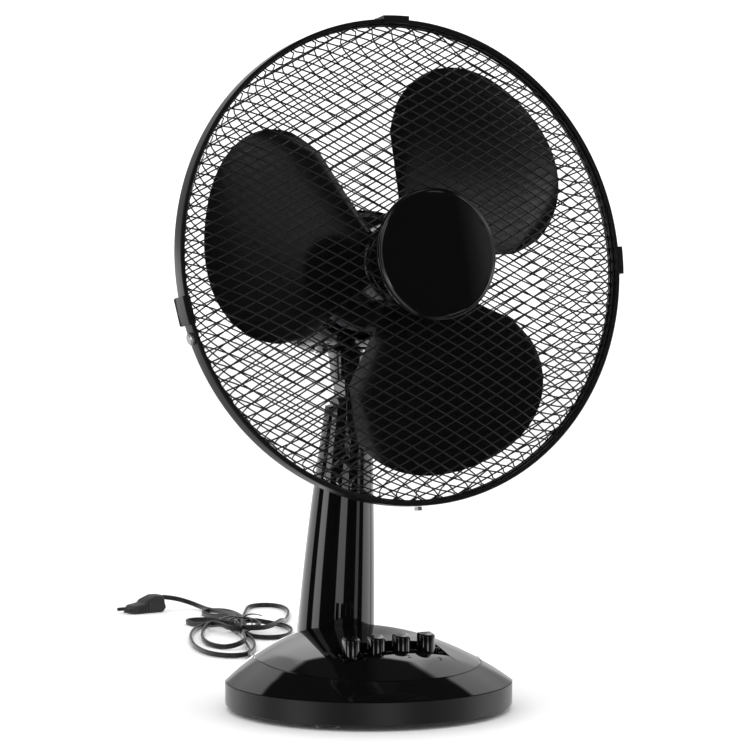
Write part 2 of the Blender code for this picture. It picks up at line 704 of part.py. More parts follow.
def make_motor(looks, head_axis):
    front = MOTOR_FRONT
    bore, seat = SHAFT_RADIUS + RUN, BEARING_RADIUS + GAP
    plate = [
        (bore, front),
        (MOTOR_RADIUS, front),
        (MOTOR_RADIUS, front + 0.004),
        (NOSE_RADIUS, front + 0.004),
        (NOSE_RADIUS, front + 0.020),
        (seat, front + 0.020),
        (seat, front + 0.012),
        (bore, front + 0.012),
    ]
    plate_node = add("motor_front_plate", turned(plate, 36), looks["grey"], head_axis, (0, 0, 0), FACING)
    rear_seat = BRACKET_FRONT - BRACKET_THICK - 0.0065
    for name, low in (("front_bearing", front + 0.012 + GAP), ("rear_bearing", rear_seat)):
        ring = [
            (SHAFT_RADIUS + GAP, low),
            (BEARING_RADIUS, low),
            (BEARING_RADIUS, low + BEARING_LENGTH),
            (SHAFT_RADIUS + GAP, low + BEARING_LENGTH),
        ]
        add(name, turned(ring, 18), looks["brass"], head_axis, (0, 0, 0), FACING)
    stator_rear = STATOR_FRONT - STATOR_LENGTH
    stator = [
        (0.028, stator_rear),
        (STATOR_RADIUS, stator_rear),
        (STATOR_RADIUS, STATOR_FRONT),
        (0.028, STATOR_FRONT),
    ]
    add("stator_core", turned(stator, 32), looks["steel"], head_axis, (0, 0, 0), FACING)
    windings = (("front_winding", STATOR_FRONT + GAP), ("rear_winding", stator_rear - GAP - WINDING_LENGTH))
    for name, low in windings:
        high = low + WINDING_LENGTH
        coil = [(0.030, low), (0.042, low), (0.044, (low + high) / 2), (0.042, high), (0.030, high)]
        add(name, turned(coil, 28), looks["copper"], head_axis, (0, 0, 0), FACING)
    rear = BRACKET_FRONT - BRACKET_THICK
    seat_end = rear_seat - RUN
    shield = [
        (bore, BRACKET_FRONT),
        (BRACKET_RADIUS, BRACKET_FRONT),
        (BRACKET_RADIUS, rear),
        (0.0135, rear),
        (0.0135, seat_end),
        (seat, seat_end),
        (seat, rear_seat + BEARING_LENGTH + RUN),
        (bore, rear_seat + BEARING_LENGTH + RUN),
    ]
    bracket = add("motor_bracket", turned(shield, 36), looks["grey"], head_axis, (0, 0, 0), FACING)
    below = block((0.12, 0.04, 0.02), (0, -BRACKET_FRONT, -BRACKET_DROP - 0.01))
    cut(bracket, helper("cutter_bracket_foot", below, head_axis))
    tube = rod(SWIVEL_RADIUS + 0.0045, -0.038, -0.0165, 20)
    web = block((0.008, 0.0125, 0.018), (0, -0.0052, -0.025))
    join(bracket, helper("swivel_tube", tube, head_axis, (0, RING_AHEAD, 0)))
    join(bracket, helper("swivel_web", web, head_axis, (0, RING_AHEAD, 0)))
    pin_hole = rod(SWIVEL_RADIUS + RUN, -0.060, -0.0180, 20)
    cut(bracket, helper("cutter_swivel", pin_hole, head_axis, (0, RING_AHEAD, 0)))
    make_studs(looks, head_axis, bracket, plate_node)


def make_studs(looks, head_axis, bracket, front_plate):
    """Four long studs that clamp the stator between the front plate and the bracket."""
    head_back = BRACKET_FRONT - BRACKET_THICK - GAP
    stud = [
        (0, head_back - 0.0026),
        (0.0036, head_back - 0.0026),
        (0.0036, head_back),
        (STUD_RADIUS, head_back),
        (STUD_RADIUS, MOTOR_FRONT + 0.003),
        (0, MOTOR_FRONT + 0.003),
    ]
    holes = []
    for i, angle in enumerate((35, 145, 215, 325)):
        x, z = STUD_CIRCLE * cos(radians(angle)), STUD_CIRCLE * sin(radians(angle))
        add(f"motor_stud_{i + 1}", turned(stud, 10), looks["zinc"], head_axis, (x, 0, z), FACING)
        hole = rod((STUD_RADIUS + GAP) / cos(pi / 10), head_back - 0.001, MOTOR_FRONT + 0.01, 10)
        bmesh.ops.translate(hole, vec=(x, z, 0), verts=hole.verts)
        holes.append(hole)
    holes = helper("cutter_studs", combined(*holes), head_axis, (0, 0, 0), FACING)
    cut(bracket, holes)
    cut(front_plate, holes)


def make_gearbox(looks, head_axis, spindle_axis, crank_axis, link_axis, link_level):
    low, high, front, back = -0.027, 0.022, 0.1435, 0.1775
    left, right, wall = -0.017, 0.034, 0.0025
    centre = ((left + right) / 2, (front + back) / 2, (low + high) / 2)
    case = add(
        "gear_case", block((right - left, back - front, high - low), centre), looks["grey"], head_axis
    )
    inside = block(
        (right - left + 0.01, back - front - 2 * wall, high - low - 2 * wall),
        (centre[0] - wall - 0.005, centre[1], centre[2]),
    )
    cut(case, helper("cutter_gear_room", inside, head_axis))
    shaft_hole = rod(0.0065, front - 0.01, front + 0.01, 16)
    cut(case, helper("cutter_gear_shaft", shaft_hole, head_axis, (0, 0, 0), (-pi / 2, 0, 0)))
    spindle_hole = rod(SPINDLE_RADIUS + RUN, low - 0.01, high + 0.01, 16)
    cut(case, helper("cutter_spindle", spindle_hole, head_axis, (SPINDLE_X, SPINDLE_BACK, 0)))
    crank_hole = rod(0.0022 + RUN, low - 0.01, low + 0.01, 12)
    cut(case, helper("cutter_crank", crank_hole, head_axis, (0, CRANK_BACK, 0)))

    eye = SPINDLE_RADIUS + GAP
    wheel = [(eye, -0.005), (WHEEL_RADIUS, -0.005), (WHEEL_RADIUS, 0.005), (eye, 0.005)]
    add("worm_wheel", turned(wheel, 24), looks["nylon"], spindle_axis)
    pinion = 0.0040
    spindle = [
        (0, -0.034),
        (pinion, -0.034),
        (pinion, low - GAP),
        (SPINDLE_RADIUS, low - GAP),
        (SPINDLE_RADIUS, 0.066),
        (0, 0.066),
    ]
    add("output_spindle", turned(spindle, 16), looks["steel"], spindle_axis)
    gear = hypot(SPINDLE_X, SPINDLE_BACK - CRANK_BACK) - pinion - RUN
    crank = [
        (0, -0.034),
        (gear, -0.034),
        (gear, -0.0295),
        (0.0022, -0.0295),
        (0.0022, -0.018),
        (0, -0.018),
    ]
    made = add("crank_gear", turned(crank, 24), looks["nylon"], crank_axis)
    pin = rod(0.002, link_level + 0.0006, -0.033, 10)
    join(made, helper("crank_pin", pin, crank_axis, (0, CRANK_THROW, 0)))

    reach = hypot(ARM_REACH, CRANK_BACK - RING_AHEAD)
    half = 0.0030
    far_end = [(x + reach, y) for x, y in circle(half, 7, -pi / 2, pi)]
    outline = [*circle(0.0052, 9, radians(60), radians(240)), *far_end]
    link = prism(outline, link_level - 0.0045, link_level)
    heading = atan2(CRANK_BACK - RING_AHEAD, -ARM_REACH)
    rod_link = add("crank_link", link, looks["zinc"], link_axis, (0, 0, 0), (0, 0, heading))
    eye = rod(0.0025 + GAP, link_level - 0.02, link_level + 0.02, 12)
    cut(rod_link, helper("cutter_link_eye", eye, link_axis))


def cover_ring(forward, width, top, bottom, inset, count=32):
    """A rounded-square section of the motor cover, on its own frame's X and Z."""
    ring = []
    for x, z in circle(1, count):
        size = (abs(x) ** 2.6 + abs(z) ** 2.6) ** (-1 / 2.6)
        tall = (top if z > 0 else bottom) - inset
        ring.append((x * size * (width - inset), -forward, z * size * tall))
    return ring


def make_motor_cover(looks, head_axis):
    front = MOTOR_FRONT - 0.0005
    back = front - COVER_LENGTH
    bottom = COVER_BOTTOM
    sections = [
        (front, 0.0570, 0.0570, bottom - 0.005),
        (front - 0.016, 0.0580, 0.0580, bottom),
        (front - 0.066, 0.0565, 0.0565, bottom),
        (front - 0.096, 0.0520, 0.0500, bottom - 0.002),
        (front - 0.114, 0.0440, 0.0400, bottom - 0.010),
        (back, 0.0280, 0.0240, bottom - 0.026),
    ]
    outer = [cover_ring(*s, 0) for s in sections]
    inner = [cover_ring(*s, COVER_WALL) for s in sections[:-1]]
    last = sections[-1]
    inner.append(cover_ring(last[0] + COVER_WALL, *last[1:], COVER_WALL))
    bm = lofted(outer[::-1] + inner)
    cover = add("motor_cover", bm, looks["gloss"], head_axis)
    mouth = rod(NECK_DISC_RADIUS + 0.0025, -0.10, -0.040, 32)
    cut(cover, helper("cutter_cover_mouth", mouth, head_axis, (0, RING_AHEAD, 0)))
    knob_hole = rod(SPINDLE_RADIUS + 2 * RUN, 0.03, 0.08, 16)
    cut(cover, helper("cutter_knob_hole", knob_hole, head_axis, (SPINDLE_X, SPINDLE_BACK, 0)))
    slots = [block((0.050, 0.020, 0.004), (0, -back, z)) for z in (-0.024, -0.014, -0.004, 0.006)]
    cut(cover, helper("cutter_vents", combined(*slots), head_axis))


def make_knob(looks, spindle_axis):
    low, bore = 0.0605, SPINDLE_RADIUS + RUN
    knob = [
        (bore, low),
        (KNOB_RADIUS - 0.001, low),
        (KNOB_RADIUS, low + 0.002),
        (KNOB_RADIUS, low + 0.014),
        (KNOB_RADIUS - 0.0015, low + 0.016),
        (0, low + 0.016),
        (0, 0.0665),
        (bore, 0.0665),
    ]
    add("swing_knob", turned(knob, 20), looks["gloss"], spindle_axis)


def make_head(looks):
    tilt_axis = empty("tilt_axis", (0, PIVOT_Y, PIVOT_HEIGHT), None, (-HEAD_TILT, 0, 0))
    swing_axis = empty("swing_axis", (0, 0, AXIS_ABOVE_PIVOT), tilt_axis)
    head_axis = empty("head_axis", (0, -RING_AHEAD, 0), swing_axis)
    spindle_axis = empty("spindle_axis", (SPINDLE_X, SPINDLE_BACK, 0), head_axis)
    crank_axis = empty("crank_axis", (0, CRANK_BACK, 0), head_axis)
    link_axis = empty("link_axis", (ARM_REACH, 0, AXIS_ABOVE_PIVOT), tilt_axis)
    disc_low = AXIS_ABOVE_PIVOT - COVER_BOTTOM - 0.002
    disc_high = AXIS_ABOVE_PIVOT - 0.058
    link_level = -0.058 + 0.0105
    make_neck(looks, tilt_axis, disc_low, disc_high)
    make_grilles(looks, head_axis)
    make_clips(looks, head_axis)
    make_impeller(looks, head_axis)
    make_motor(looks, head_axis)
    make_gearbox(looks, head_axis, spindle_axis, crank_axis, link_axis, link_level)
    make_motor_cover(looks, head_axis)
    make_knob(looks, spindle_axis)


# Cord
def smooth_route(points, step):
    """Points about a step apart along a smooth curve through the given ones."""
    ends = [points[0] * 2 - points[1], *points, points[-1] * 2 - points[-2]]
    fine = []
    for a, b, c, d in zip(ends, ends[1:], ends[2:], ends[3:], strict=False):
        for k in range(12):
            t = k / 12
            bend = (2 * a - 5 * b + 4 * c - d) * t**2 + (3 * b - a - 3 * c + d) * t**3
            fine.append(0.5 * (2 * b + (c - a) * t + bend))
    fine.append(points[-1])
    kept, gone = [fine[0]], 0.0
    for a, b in zip(fine, fine[1:], strict=False):
        gone += (b - a).length
        if gone >= step:
            kept.append(b)
            gone = 0.0
    kept[-1] = points[-1]
    return kept


def cord_tube(name, route, look):
    curve = bpy.data.curves.new(name, "CURVE")
    curve.dimensions = "3D"
    curve.bevel_depth = CORD_THICK / 2
    curve.bevel_resolution = 2
    curve.use_fill_caps = True
    points = smooth_route(route, 0.0125)
    spline = curve.splines.new("POLY")
    spline.points.add(len(points) - 1)
    for target, place in zip(spline.points, points, strict=True):
        target.co = (*place, 1)
    curve.materials.append(look)
    made = bpy.data.objects.new(name, curve)
    bpy.context.scene.collection.objects.link(made)


def make_cord(looks):
    height = CORD_EXIT_HEIGHT
    relief = [
        (0, -0.0060),
        (0.0065, -0.0060),
        (0.0065, -SHELL_WALL - GAP),
        (0.0043, -SHELL_WALL - GAP),
        (0.0043, GAP),
        (0.0060, GAP),
        (0.0034, RELIEF_LENGTH),
        (0, RELIEF_LENGTH),
    ]
    add("strain_relief", turned(relief, 16), looks["rubber"], None, (0, BASE_RADIUS, height), (-pi / 2, 0, 0))

    end = BASE_RADIUS + RELIEF_LENGTH + GAP
    tail = [
        Vector((0, end, height)),
        Vector((0, end + 0.018, height - 0.0015)),
        Vector((0.0005, end + 0.036, 0.0075)),
        Vector((0.0015, end + 0.054, 0.0028)),
        Vector((0.0030, end + 0.074, 0.0022)),
        Vector((0.0050, end + 0.098, 0.0022)),
        Vector((0.0080, 0.3082, 0.0022)),
    ]
    cord_tube("cord_tail", tail, looks["cord"])

    start, stop = HANK_ENDS
    heading = atan2(stop.y - start.y, stop.x - start.x)
    outline = [(start.x + x, start.y + y) for x, y in circle(HANK_RADIUS, 13, heading + pi / 2, pi)]
    outline += [(stop.x + x, stop.y + y) for x, y in circle(HANK_RADIUS, 13, heading - pi / 2, pi)]
    add("cord_hank", prism(outline, 0.0004, HANK_HEIGHT), looks["cord"])

    lead = [
        Vector((0.1128, 0.6560, 0.0024)),
        Vector((0.1145, 0.6650, 0.0027)),
        Vector((0.1155, 0.6790, 0.0040)),
        Vector((0.1110, 0.6925, 0.0070)),
        Vector((0.1010, 0.7000, 0.0105)),
        Vector((0.0890, 0.7005, 0.0135)),
        Vector((0.0760, 0.6965, 0.0150)),
    ]
    cord_tube("cord_lead", lead, looks["cord"])
    make_plug(looks["rubber"])


def make_plug(look):
    """A flat plug lying on its side: a low wedge with two pins, and a hump where the cord goes in."""
    side = [
        (-0.0250, 0.0006),
        (0.0215, 0.0006),
        (0.0270, 0.0060),
        (0.0240, 0.0110),
        (0.0235, 0.0195),
        (0.0120, 0.0195),
        (-0.0010, 0.0150),
        (-0.0040, 0.0110),
        (-0.0170, 0.0085),
    ]
    half = 0.0125
    body = prism(side, -half, half, 0.0008)
    turn = Matrix(((1, 0, 0, 0), (0, 0, -1, 0), (0, 1, 0, 0), (0, 0, 0, 1)))
    bmesh.ops.transform(body, matrix=turn, verts=body.verts)
    slant = (0, 0, radians(9))
    plug = add("plug", body, look, None, PLUG_AT, slant)
    pins = combined(*[block((0.019, 0.0040, 0.0040), (-0.0290, y, 0.0046)) for y in (-0.0075, 0.0075)])
    join(plug, helper("plug_pins", pins, None, PLUG_AT, slant))


def main():
    clear_scene()
    looks = {
        "gloss": finish("gloss black plastic", BLACK, 0.12),
        "satin": finish("satin black plastic", (0.020, 0.020, 0.021), 0.42),
        "blade": finish("smoked black blade plastic", (0.010, 0.010, 0.011), 0.20),
        "wire": finish("black coated wire", BLACK, 0.30),
        "rubber": finish("black rubber", (0.030, 0.030, 0.031), 0.60),
        "cord": finish("dark grey flex", (0.035, 0.035, 0.037), 0.50),
        "grey": finish("grey painted casting", (0.16, 0.16, 0.17), 0.50, 0.3),
        "zinc": finish("zinc plated steel", (0.42, 0.42, 0.43), 0.35, 0.9),
        "steel": finish("bright steel", STEEL, 0.30, 1.0),
        "copper": finish("varnished copper wire", (0.45, 0.17, 0.07), 0.40, 0.8),
        "brass": finish("sintered bronze", (0.48, 0.32, 0.14), 0.45, 0.9),
        "nylon": finish("natural nylon", (0.75, 0.73, 0.66), 0.45),
        "switch": finish("grey moulded plastic", (0.22, 0.22, 0.23), 0.50),
    }
    floor = make_base(looks)
    switch_top = make_inside_base(looks, floor)
    make_bezel(looks["satin"])
    make_buttons(looks["gloss"], switch_top)
    make_column(looks, floor)
    outer_face = make_fork(looks)
    make_tilt_bolt(looks, outer_face)
    make_head(looks)
    make_cord(looks)


main()
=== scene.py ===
"""The looks of the table fan: wire grilles, gloss plastics, the tied-up cord, the studio and the camera.

Metres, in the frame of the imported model: +Z up, the fan blows towards -Y, the origin under the base.
"""

import json
from math import cos, pi, radians, sin, sqrt

import bmesh
import bpy
from mathutils import Matrix, Vector


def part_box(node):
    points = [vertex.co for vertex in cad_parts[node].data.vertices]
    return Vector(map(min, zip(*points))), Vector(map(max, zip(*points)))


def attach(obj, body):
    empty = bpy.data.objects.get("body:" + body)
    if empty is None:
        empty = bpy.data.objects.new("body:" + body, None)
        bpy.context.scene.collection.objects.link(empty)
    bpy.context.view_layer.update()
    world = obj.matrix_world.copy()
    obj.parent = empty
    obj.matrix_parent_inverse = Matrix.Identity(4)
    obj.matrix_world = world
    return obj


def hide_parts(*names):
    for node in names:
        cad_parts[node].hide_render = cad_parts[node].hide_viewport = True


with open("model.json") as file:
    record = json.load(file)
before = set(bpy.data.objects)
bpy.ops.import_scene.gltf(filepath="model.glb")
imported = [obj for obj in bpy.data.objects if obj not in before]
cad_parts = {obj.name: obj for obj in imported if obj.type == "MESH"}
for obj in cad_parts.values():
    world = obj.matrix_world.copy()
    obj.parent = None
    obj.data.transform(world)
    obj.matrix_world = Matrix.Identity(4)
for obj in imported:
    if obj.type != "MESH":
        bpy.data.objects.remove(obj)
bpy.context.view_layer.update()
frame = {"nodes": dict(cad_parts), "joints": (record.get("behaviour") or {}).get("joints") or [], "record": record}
NODES = frame["nodes"]
JOINTS = {joint["name"]: joint for joint in frame["joints"]}

# Sizes read from the frame
RIGHT = Vector((1, 0, 0))
BLOWING = Vector(JOINTS["fan_spin"]["axis"]).normalized()
UP = Vector(JOINTS["head_swing"]["axis"]).normalized()
HEAD_CENTRE = Vector(JOINTS["fan_spin"]["pos_m"])
SWING_POINT = Vector(JOINTS["head_swing"]["pos_m"])
TILT_POINT = Vector(JOINTS["head_tilt"]["pos_m"])
RING_AHEAD = (HEAD_CENTRE - SWING_POINT).length
RING_RADIUS = (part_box("clamp_ring")[1].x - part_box("clamp_ring")[0].x) / 2
BASE_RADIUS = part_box("base_tray")[1].x
TRAY_LOW, TRAY_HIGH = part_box("base_tray")[0].z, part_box("base_tray")[1].z
CAP_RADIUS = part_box("grille_cap")[1].x
COLUMN_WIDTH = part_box("column")[1].x
BUTTON_LOW, BUTTON_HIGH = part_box("button_0")
BUTTON_RADIUS = (BUTTON_HIGH.x - BUTTON_LOW.x) / 2
BUTTON_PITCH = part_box("button_1")[0].x - BUTTON_LOW.x
BUTTON_Y = (BUTTON_LOW.y + BUTTON_HIGH.y) / 2
BEZEL_LOW, BEZEL_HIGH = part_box("button_bezel")
KNOB_LOW, KNOB_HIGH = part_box("swing_knob")

# Shapes that the model and this script share
DOME_RISE, DOME_APEX_Y, DOME_CURVE = 0.0435, 0.045, 2.3
RIM_HEIGHT = TRAY_HIGH + 0.0004
SHELL = 0.0025
COLUMN_TOP_WIDTH, COLUMN_DEPTH_SHARE, COLUMN_FOOT_Y = 0.0225, 0.91, 0.0725
COLUMN_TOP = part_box("column")[1].z
RING_DEPTH, RING_WALL, RING_LIP = 0.0156, 0.0022, 0.0038
WIRE, WIRE_PITCH, WIRE_SLOPE = 0.0014, 0.00932, radians(28)
RIM_WIRE = 0.0024
RIM = RING_RADIUS - RING_WALL - 0.0004 - RIM_WIRE * 0.75
SHOULDER = RIM - 0.006
FRONT_DEPTH, REAR_DEPTH = 0.054, 0.074
BLADE_RADIUS, BLADE_SPAN, BLADE_PITCH, BLADES_AT = 0.190, radians(90), 0.011, -0.010
BLADE_DISH, BLADE_ROOTS = 0.009, (169, 49, -71)
HUB_RADIUS = 0.038
MOTOR_FRONT, COVER_LENGTH, COVER_BOTTOM = -0.084, 0.1245, 0.066

# Frames: FACE turns +Z to the blowing direction, HEAD has +Y to the back and +Z up along the head
FACE = Matrix.Translation(HEAD_CENTRE) @ Matrix((RIGHT, UP, BLOWING)).transposed().to_4x4()
HEAD = Matrix.Translation(HEAD_CENTRE) @ Matrix((RIGHT, -BLOWING, UP)).transposed().to_4x4()
NECK = Matrix.Translation(TILT_POINT) @ Matrix((RIGHT, -BLOWING, UP)).transposed().to_4x4()
KNOB_POINT = HEAD.inverted() @ Vector(JOINTS["spindle_spin"]["pos_m"])
KNOB_STAND = HEAD @ Matrix.Translation((KNOB_POINT.x, KNOB_POINT.y, 0))
# Turns a shape drawn in x and y so that it faces along X
ACROSS = Matrix(((0, 0, 1, 0), (1, 0, 0, 0), (0, 1, 0, 0), (0, 0, 0, 1)))


# Materials
def material(
    name, colour, rough, spread=0.03, metallic=0.0, grain=0.0, grain_scale=900, wave=0.0, tint=0.12, shine=0.5
):
    """A shader whose colour and roughness drift a little, over a fine grain and a slow waviness."""
    made = bpy.data.materials.new(name)
    made.use_nodes = True
    tree = made.node_tree
    link = tree.links.new
    shader = tree.nodes["Principled BSDF"]
    shader.inputs["Metallic"].default_value = metallic
    shader.inputs["Specular IOR Level"].default_value = shine
    place = tree.nodes.new("ShaderNodeTexCoord")

    def noise(scale, detail=3.0):
        node = tree.nodes.new("ShaderNodeTexNoise")
        node.inputs["Scale"].default_value = scale
        node.inputs["Detail"].default_value = detail
        link(place.outputs["Object"], node.inputs["Vector"])
        return node.outputs["Fac"]

    def spread_of(source, low, high):
        node = tree.nodes.new("ShaderNodeMapRange")
        node.inputs["To Min"].default_value = low
        node.inputs["To Max"].default_value = high
        link(source, node.inputs["Value"])
        return node.outputs["Result"]

    cloud = noise(28)
    ramp = tree.nodes.new("ShaderNodeValToRGB")
    ramp.color_ramp.elements[0].color = (*[c * (1 - tint) for c in colour], 1)
    ramp.color_ramp.elements[1].color = (*[min(1, c * (1 + tint)) for c in colour], 1)
    link(cloud, ramp.inputs["Fac"])
    link(ramp.outputs["Color"], shader.inputs["Base Color"])
    roughness = spread_of(noise(65), max(0.02, rough - spread), rough + spread)
    link(roughness, shader.inputs["Roughness"])
    last = None
    for strength, scale, distance in ((wave, 22, 0.0006), (grain, grain_scale, 0.0001)):
        if not strength:
            continue
        bump = tree.nodes.new("ShaderNodeBump")
        bump.inputs["Strength"].default_value = strength
        bump.inputs["Distance"].default_value = distance
        link(noise(scale, 2.0), bump.inputs["Height"])
        if last:
            link(last, bump.inputs["Normal"])
        last = bump.outputs["Normal"]
    if last:
        link(last, shader.inputs["Normal"])
    return made


LOOKS = {
    "gloss_black": material("gloss black plastic", (0.0025, 0.0025, 0.0028), 0.03, 0.012, wave=0.03),
    "satin_black": material("satin black plastic", (0.018, 0.018, 0.019), 0.38, 0.05, grain=0.5, wave=0.05),
    "blade_black": material("blade plastic", (0.003, 0.003, 0.0033), 0.14, 0.03, wave=0.05),
    "wire_black": material(
        "coated wire", (0.006, 0.006, 0.0065), 0.30, 0.06, grain=0.3, grain_scale=1500, shine=0.35
    ),
    "rubber_black": material(
        "black rubber", (0.022, 0.022, 0.023), 0.55, 0.08, grain=0.6, grain_scale=1200
    ),
    "cord_grey": material(
        "flat cord", (0.016, 0.016, 0.017), 0.42, 0.06, grain=0.3, grain_scale=1400, wave=0.1, shine=0.35
    ),
    "casting_grey": material(
        "grey painted casting", (0.16, 0.16, 0.17), 0.48, 0.06, grain=0.8, grain_scale=500
    ),
    "zinc": material("zinc plate", (0.42, 0.42, 0.43), 0.32, 0.08, 0.9, grain=0.3, tint=0.2),
    "steel": material("ground steel", (0.55, 0.55, 0.56), 0.28, 0.08, 1.0, grain=0.3, tint=0.2),
    "copper": material(
        "varnished copper wire", (0.45, 0.17, 0.07), 0.38, 0.1, 0.8, grain=0.9, grain_scale=1600
    ),
    "bronze": material("sintered bronze", (0.48, 0.32, 0.14), 0.45, 0.1, 0.9, grain=0.9, grain_scale=2500),
    "nylon": material("natural nylon", (0.75, 0.73, 0.66), 0.42, 0.06, grain=0.2),
    "switch_grey": material("grey moulded plastic", (0.22, 0.22, 0.23), 0.5, 0.06, grain=0.6),
}
BAND = material(
    "semi-matte tray plastic", (0.006, 0.006, 0.0063), 0.42, 0.04, grain=0.35, wave=0.04, shine=0.3
)
RING_BLACK = material("clamp ring plastic", (0.0035, 0.0035, 0.0038), 0.30, 0.04, wave=0.04, shine=0.25)
INK = material("matte ink", (0.045, 0.045, 0.045), 0.7, 0.1, grain=0.4)
MEMBER_SLOT = {part["node"]: part["material_slot"] for part in frame["record"]["subparts"]}


def dress_cad_nodes():
    for name, node in NODES.items():
        node.data.materials.clear()
        node.data.materials.append(LOOKS[MEMBER_SLOT[name]])


# Mesh helpers
def piece(name, bm, body=None, slot=None, stands_for=(), matrix=None, look=None, smooth=35, bevel=0.0):
    """A bmesh made an object that rides on a body, looks like its slot and stands for some CAD nodes."""
    bmesh.ops.recalc_face_normals(bm, faces=bm.faces)
    mesh = bpy.data.meshes.new(name)
    bm.to_mesh(mesh)
    bm.free()
    if matrix:
        mesh.transform(matrix)
    mesh.shade_smooth()
    mesh.set_sharp_from_angle(angle=radians(smooth))
    mesh.materials.append(look or LOOKS[slot])
    made = bpy.data.objects.new(name, mesh)
    bpy.context.scene.collection.objects.link(made)
    if bevel:
        add_bevel(made, bevel)
    if body:
        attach(made, body)
    if stands_for:
        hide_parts(*stands_for)
    return made


def add_bevel(obj, width, segments=3):
    modifier = obj.modifiers.new("rounded edges", "BEVEL")
    modifier.width = width
    modifier.segments = segments
    modifier.limit_method = "ANGLE"
    modifier.angle_limit = radians(35)
    modifier.use_clamp_overlap = True
    modifier.harden_normals = False


def carve(target, cutters, operation="DIFFERENCE"):
    """Cuts (or joins) several bmeshes and leaves a plain mesh."""
    for bm in cutters:
        other = piece("tool", bm, look=INK)
        modifier = target.modifiers.new("cut", "BOOLEAN")
        modifier.operation = operation
        modifier.solver = "EXACT"
        modifier.object = other
        bpy.context.view_layer.objects.active = target
        bpy.context.view_layer.update()
        with bpy.context.temp_override(object=target, active_object=target):
            bpy.ops.object.modifier_apply(modifier="cut")
        bpy.data.objects.remove(other, do_unlink=True)
    target.data.set_sharp_from_angle(angle=radians(35))


def turned(outline, steps=96, turn=2 * pi, start=0.0):
    """A closed outline of (radius, height) turned round Z."""
    whole = turn > 2 * pi - 1e-6
    count = steps if whole else steps + 1
    rings = []
    for i in range(count):
        a = start + turn * i / steps
        rings.append([(r * cos(a), r * sin(a), z) for r, z in outline])
    bm = lofted(rings, closed=whole)
    bmesh.ops.remove_doubles(bm, verts=bm.verts, dist=1e-6)
    bmesh.ops.dissolve_degenerate(bm, edges=bm.edges, dist=1e-6)
    return bm


def lofted(rings, closed=False):
    bm = bmesh.new()
    rows = [[bm.verts.new(p) for p in ring] for ring in rings]
    count = len(rows[0])
    pairs = list(zip(rows, rows[1:]))
    if closed:
        pairs.append((rows[-1], rows[0]))
    for low, high in pairs:
        for i in range(count):
            j = (i + 1) % count
            bm.faces.new((low[i], low[j], high[j], high[i]))
    if not closed:
        bm.faces.new(rows[0])
        bm.faces.new(rows[-1])
    return bm


def rounded(outline, radius, steps=4):
    """The outline with each corner that is sharp replaced by an arc."""
    made = []
    count = len(outline)
    for i in range(count):
        a, b, c = (Vector(outline[(i + k) % count]) for k in (-1, 0, 1))
        into, out = (a - b), (c - b)
        reach = min(radius, into.length * 0.45, out.length * 0.45)
        on_axis = b.x < 1e-9
        if on_axis or reach < 1e-7 or into.normalized().dot(out.normalized()) < -0.995:
            made.append(tuple(b))
            continue
        start, stop = b + into.normalized() * reach, b + out.normalized() * reach
        for k in range(steps + 1):
            t = k / steps
            made.append(tuple(start * (1 - t) ** 2 + b * 2 * t * (1 - t) + stop * t**2))
    return made


def circle(radius, count, start=0.0, turn=2 * pi):
    ends = 0 if turn > 2 * pi - 1e-6 else 1
    angles = [start + turn * i / (count - ends) for i in range(count)]
    return [(radius * cos(a), radius * sin(a)) for a in angles]


def prism(outline, low, high):
    return lofted([[(x, y, low) for x, y in outline], [(x, y, high) for x, y in outline]])


def block(size, centre):
    x, y, z = (s / 2 for s in size)
    bm = prism([(-x, -y), (x, -y), (x, y), (-x, y)], -z, z)
    bmesh.ops.translate(bm, vec=centre, verts=bm.verts)
    return bm


def moved(bm, matrix):
    bmesh.ops.transform(bm, matrix=matrix, verts=bm.verts)
    return bm


def combined(*meshes):
    whole = meshes[0]
    for other in meshes[1:]:
        mesh = bpy.data.meshes.new("part")
        other.to_mesh(mesh)
        other.free()
        whole.from_mesh(mesh)
        bpy.data.meshes.remove(mesh)
    return whole


def rod(radius, low, high, steps=32, edge=0.0):
    outline = [(0, low), (radius, low), (radius, high), (0, high)]
    return turned(rounded(outline, edge) if edge else outline, steps)


# Base
def dome_share_point(angle, share, drop=0.0, inset=0.0):
    """A point on the dome: share is 0 at the apex and 1 at the rim."""
    rim = Vector((cos(angle), sin(angle))) * (BASE_RADIUS - inset)
    apex = Vector((0, DOME_APEX_Y))
    flat = apex + (rim - apex) * share
    height = RIM_HEIGHT + DOME_RISE * (1 - share**DOME_CURVE) - drop
    return (*flat, height)


def dome_height(x, y):
    apex = Vector((0, DOME_APEX_Y))
    way = Vector((x, y)) - apex
    unit = way.normalized()
    along = apex.dot(unit)
    reach = sqrt(along**2 - apex.length_squared + BASE_RADIUS**2) - along
    return RIM_HEIGHT + DOME_RISE * (1 - (way.length / reach) ** DOME_CURVE)


def dome_normal(x, y):
    step = 0.0004
    slope_x = (dome_height(x + step, y) - dome_height(x - step, y)) / (2 * step)
    slope_y = (dome_height(x, y + step) - dome_height(x, y - step)) / (2 * step)
    return Vector((-slope_x, -slope_y, 1)).normalized()


def seam_share(angle):
    """The groove round the top panel lies nearer the rim in front than at the sides."""
    front = max(0, -sin(angle))
    return 0.77 + 0.08 * front


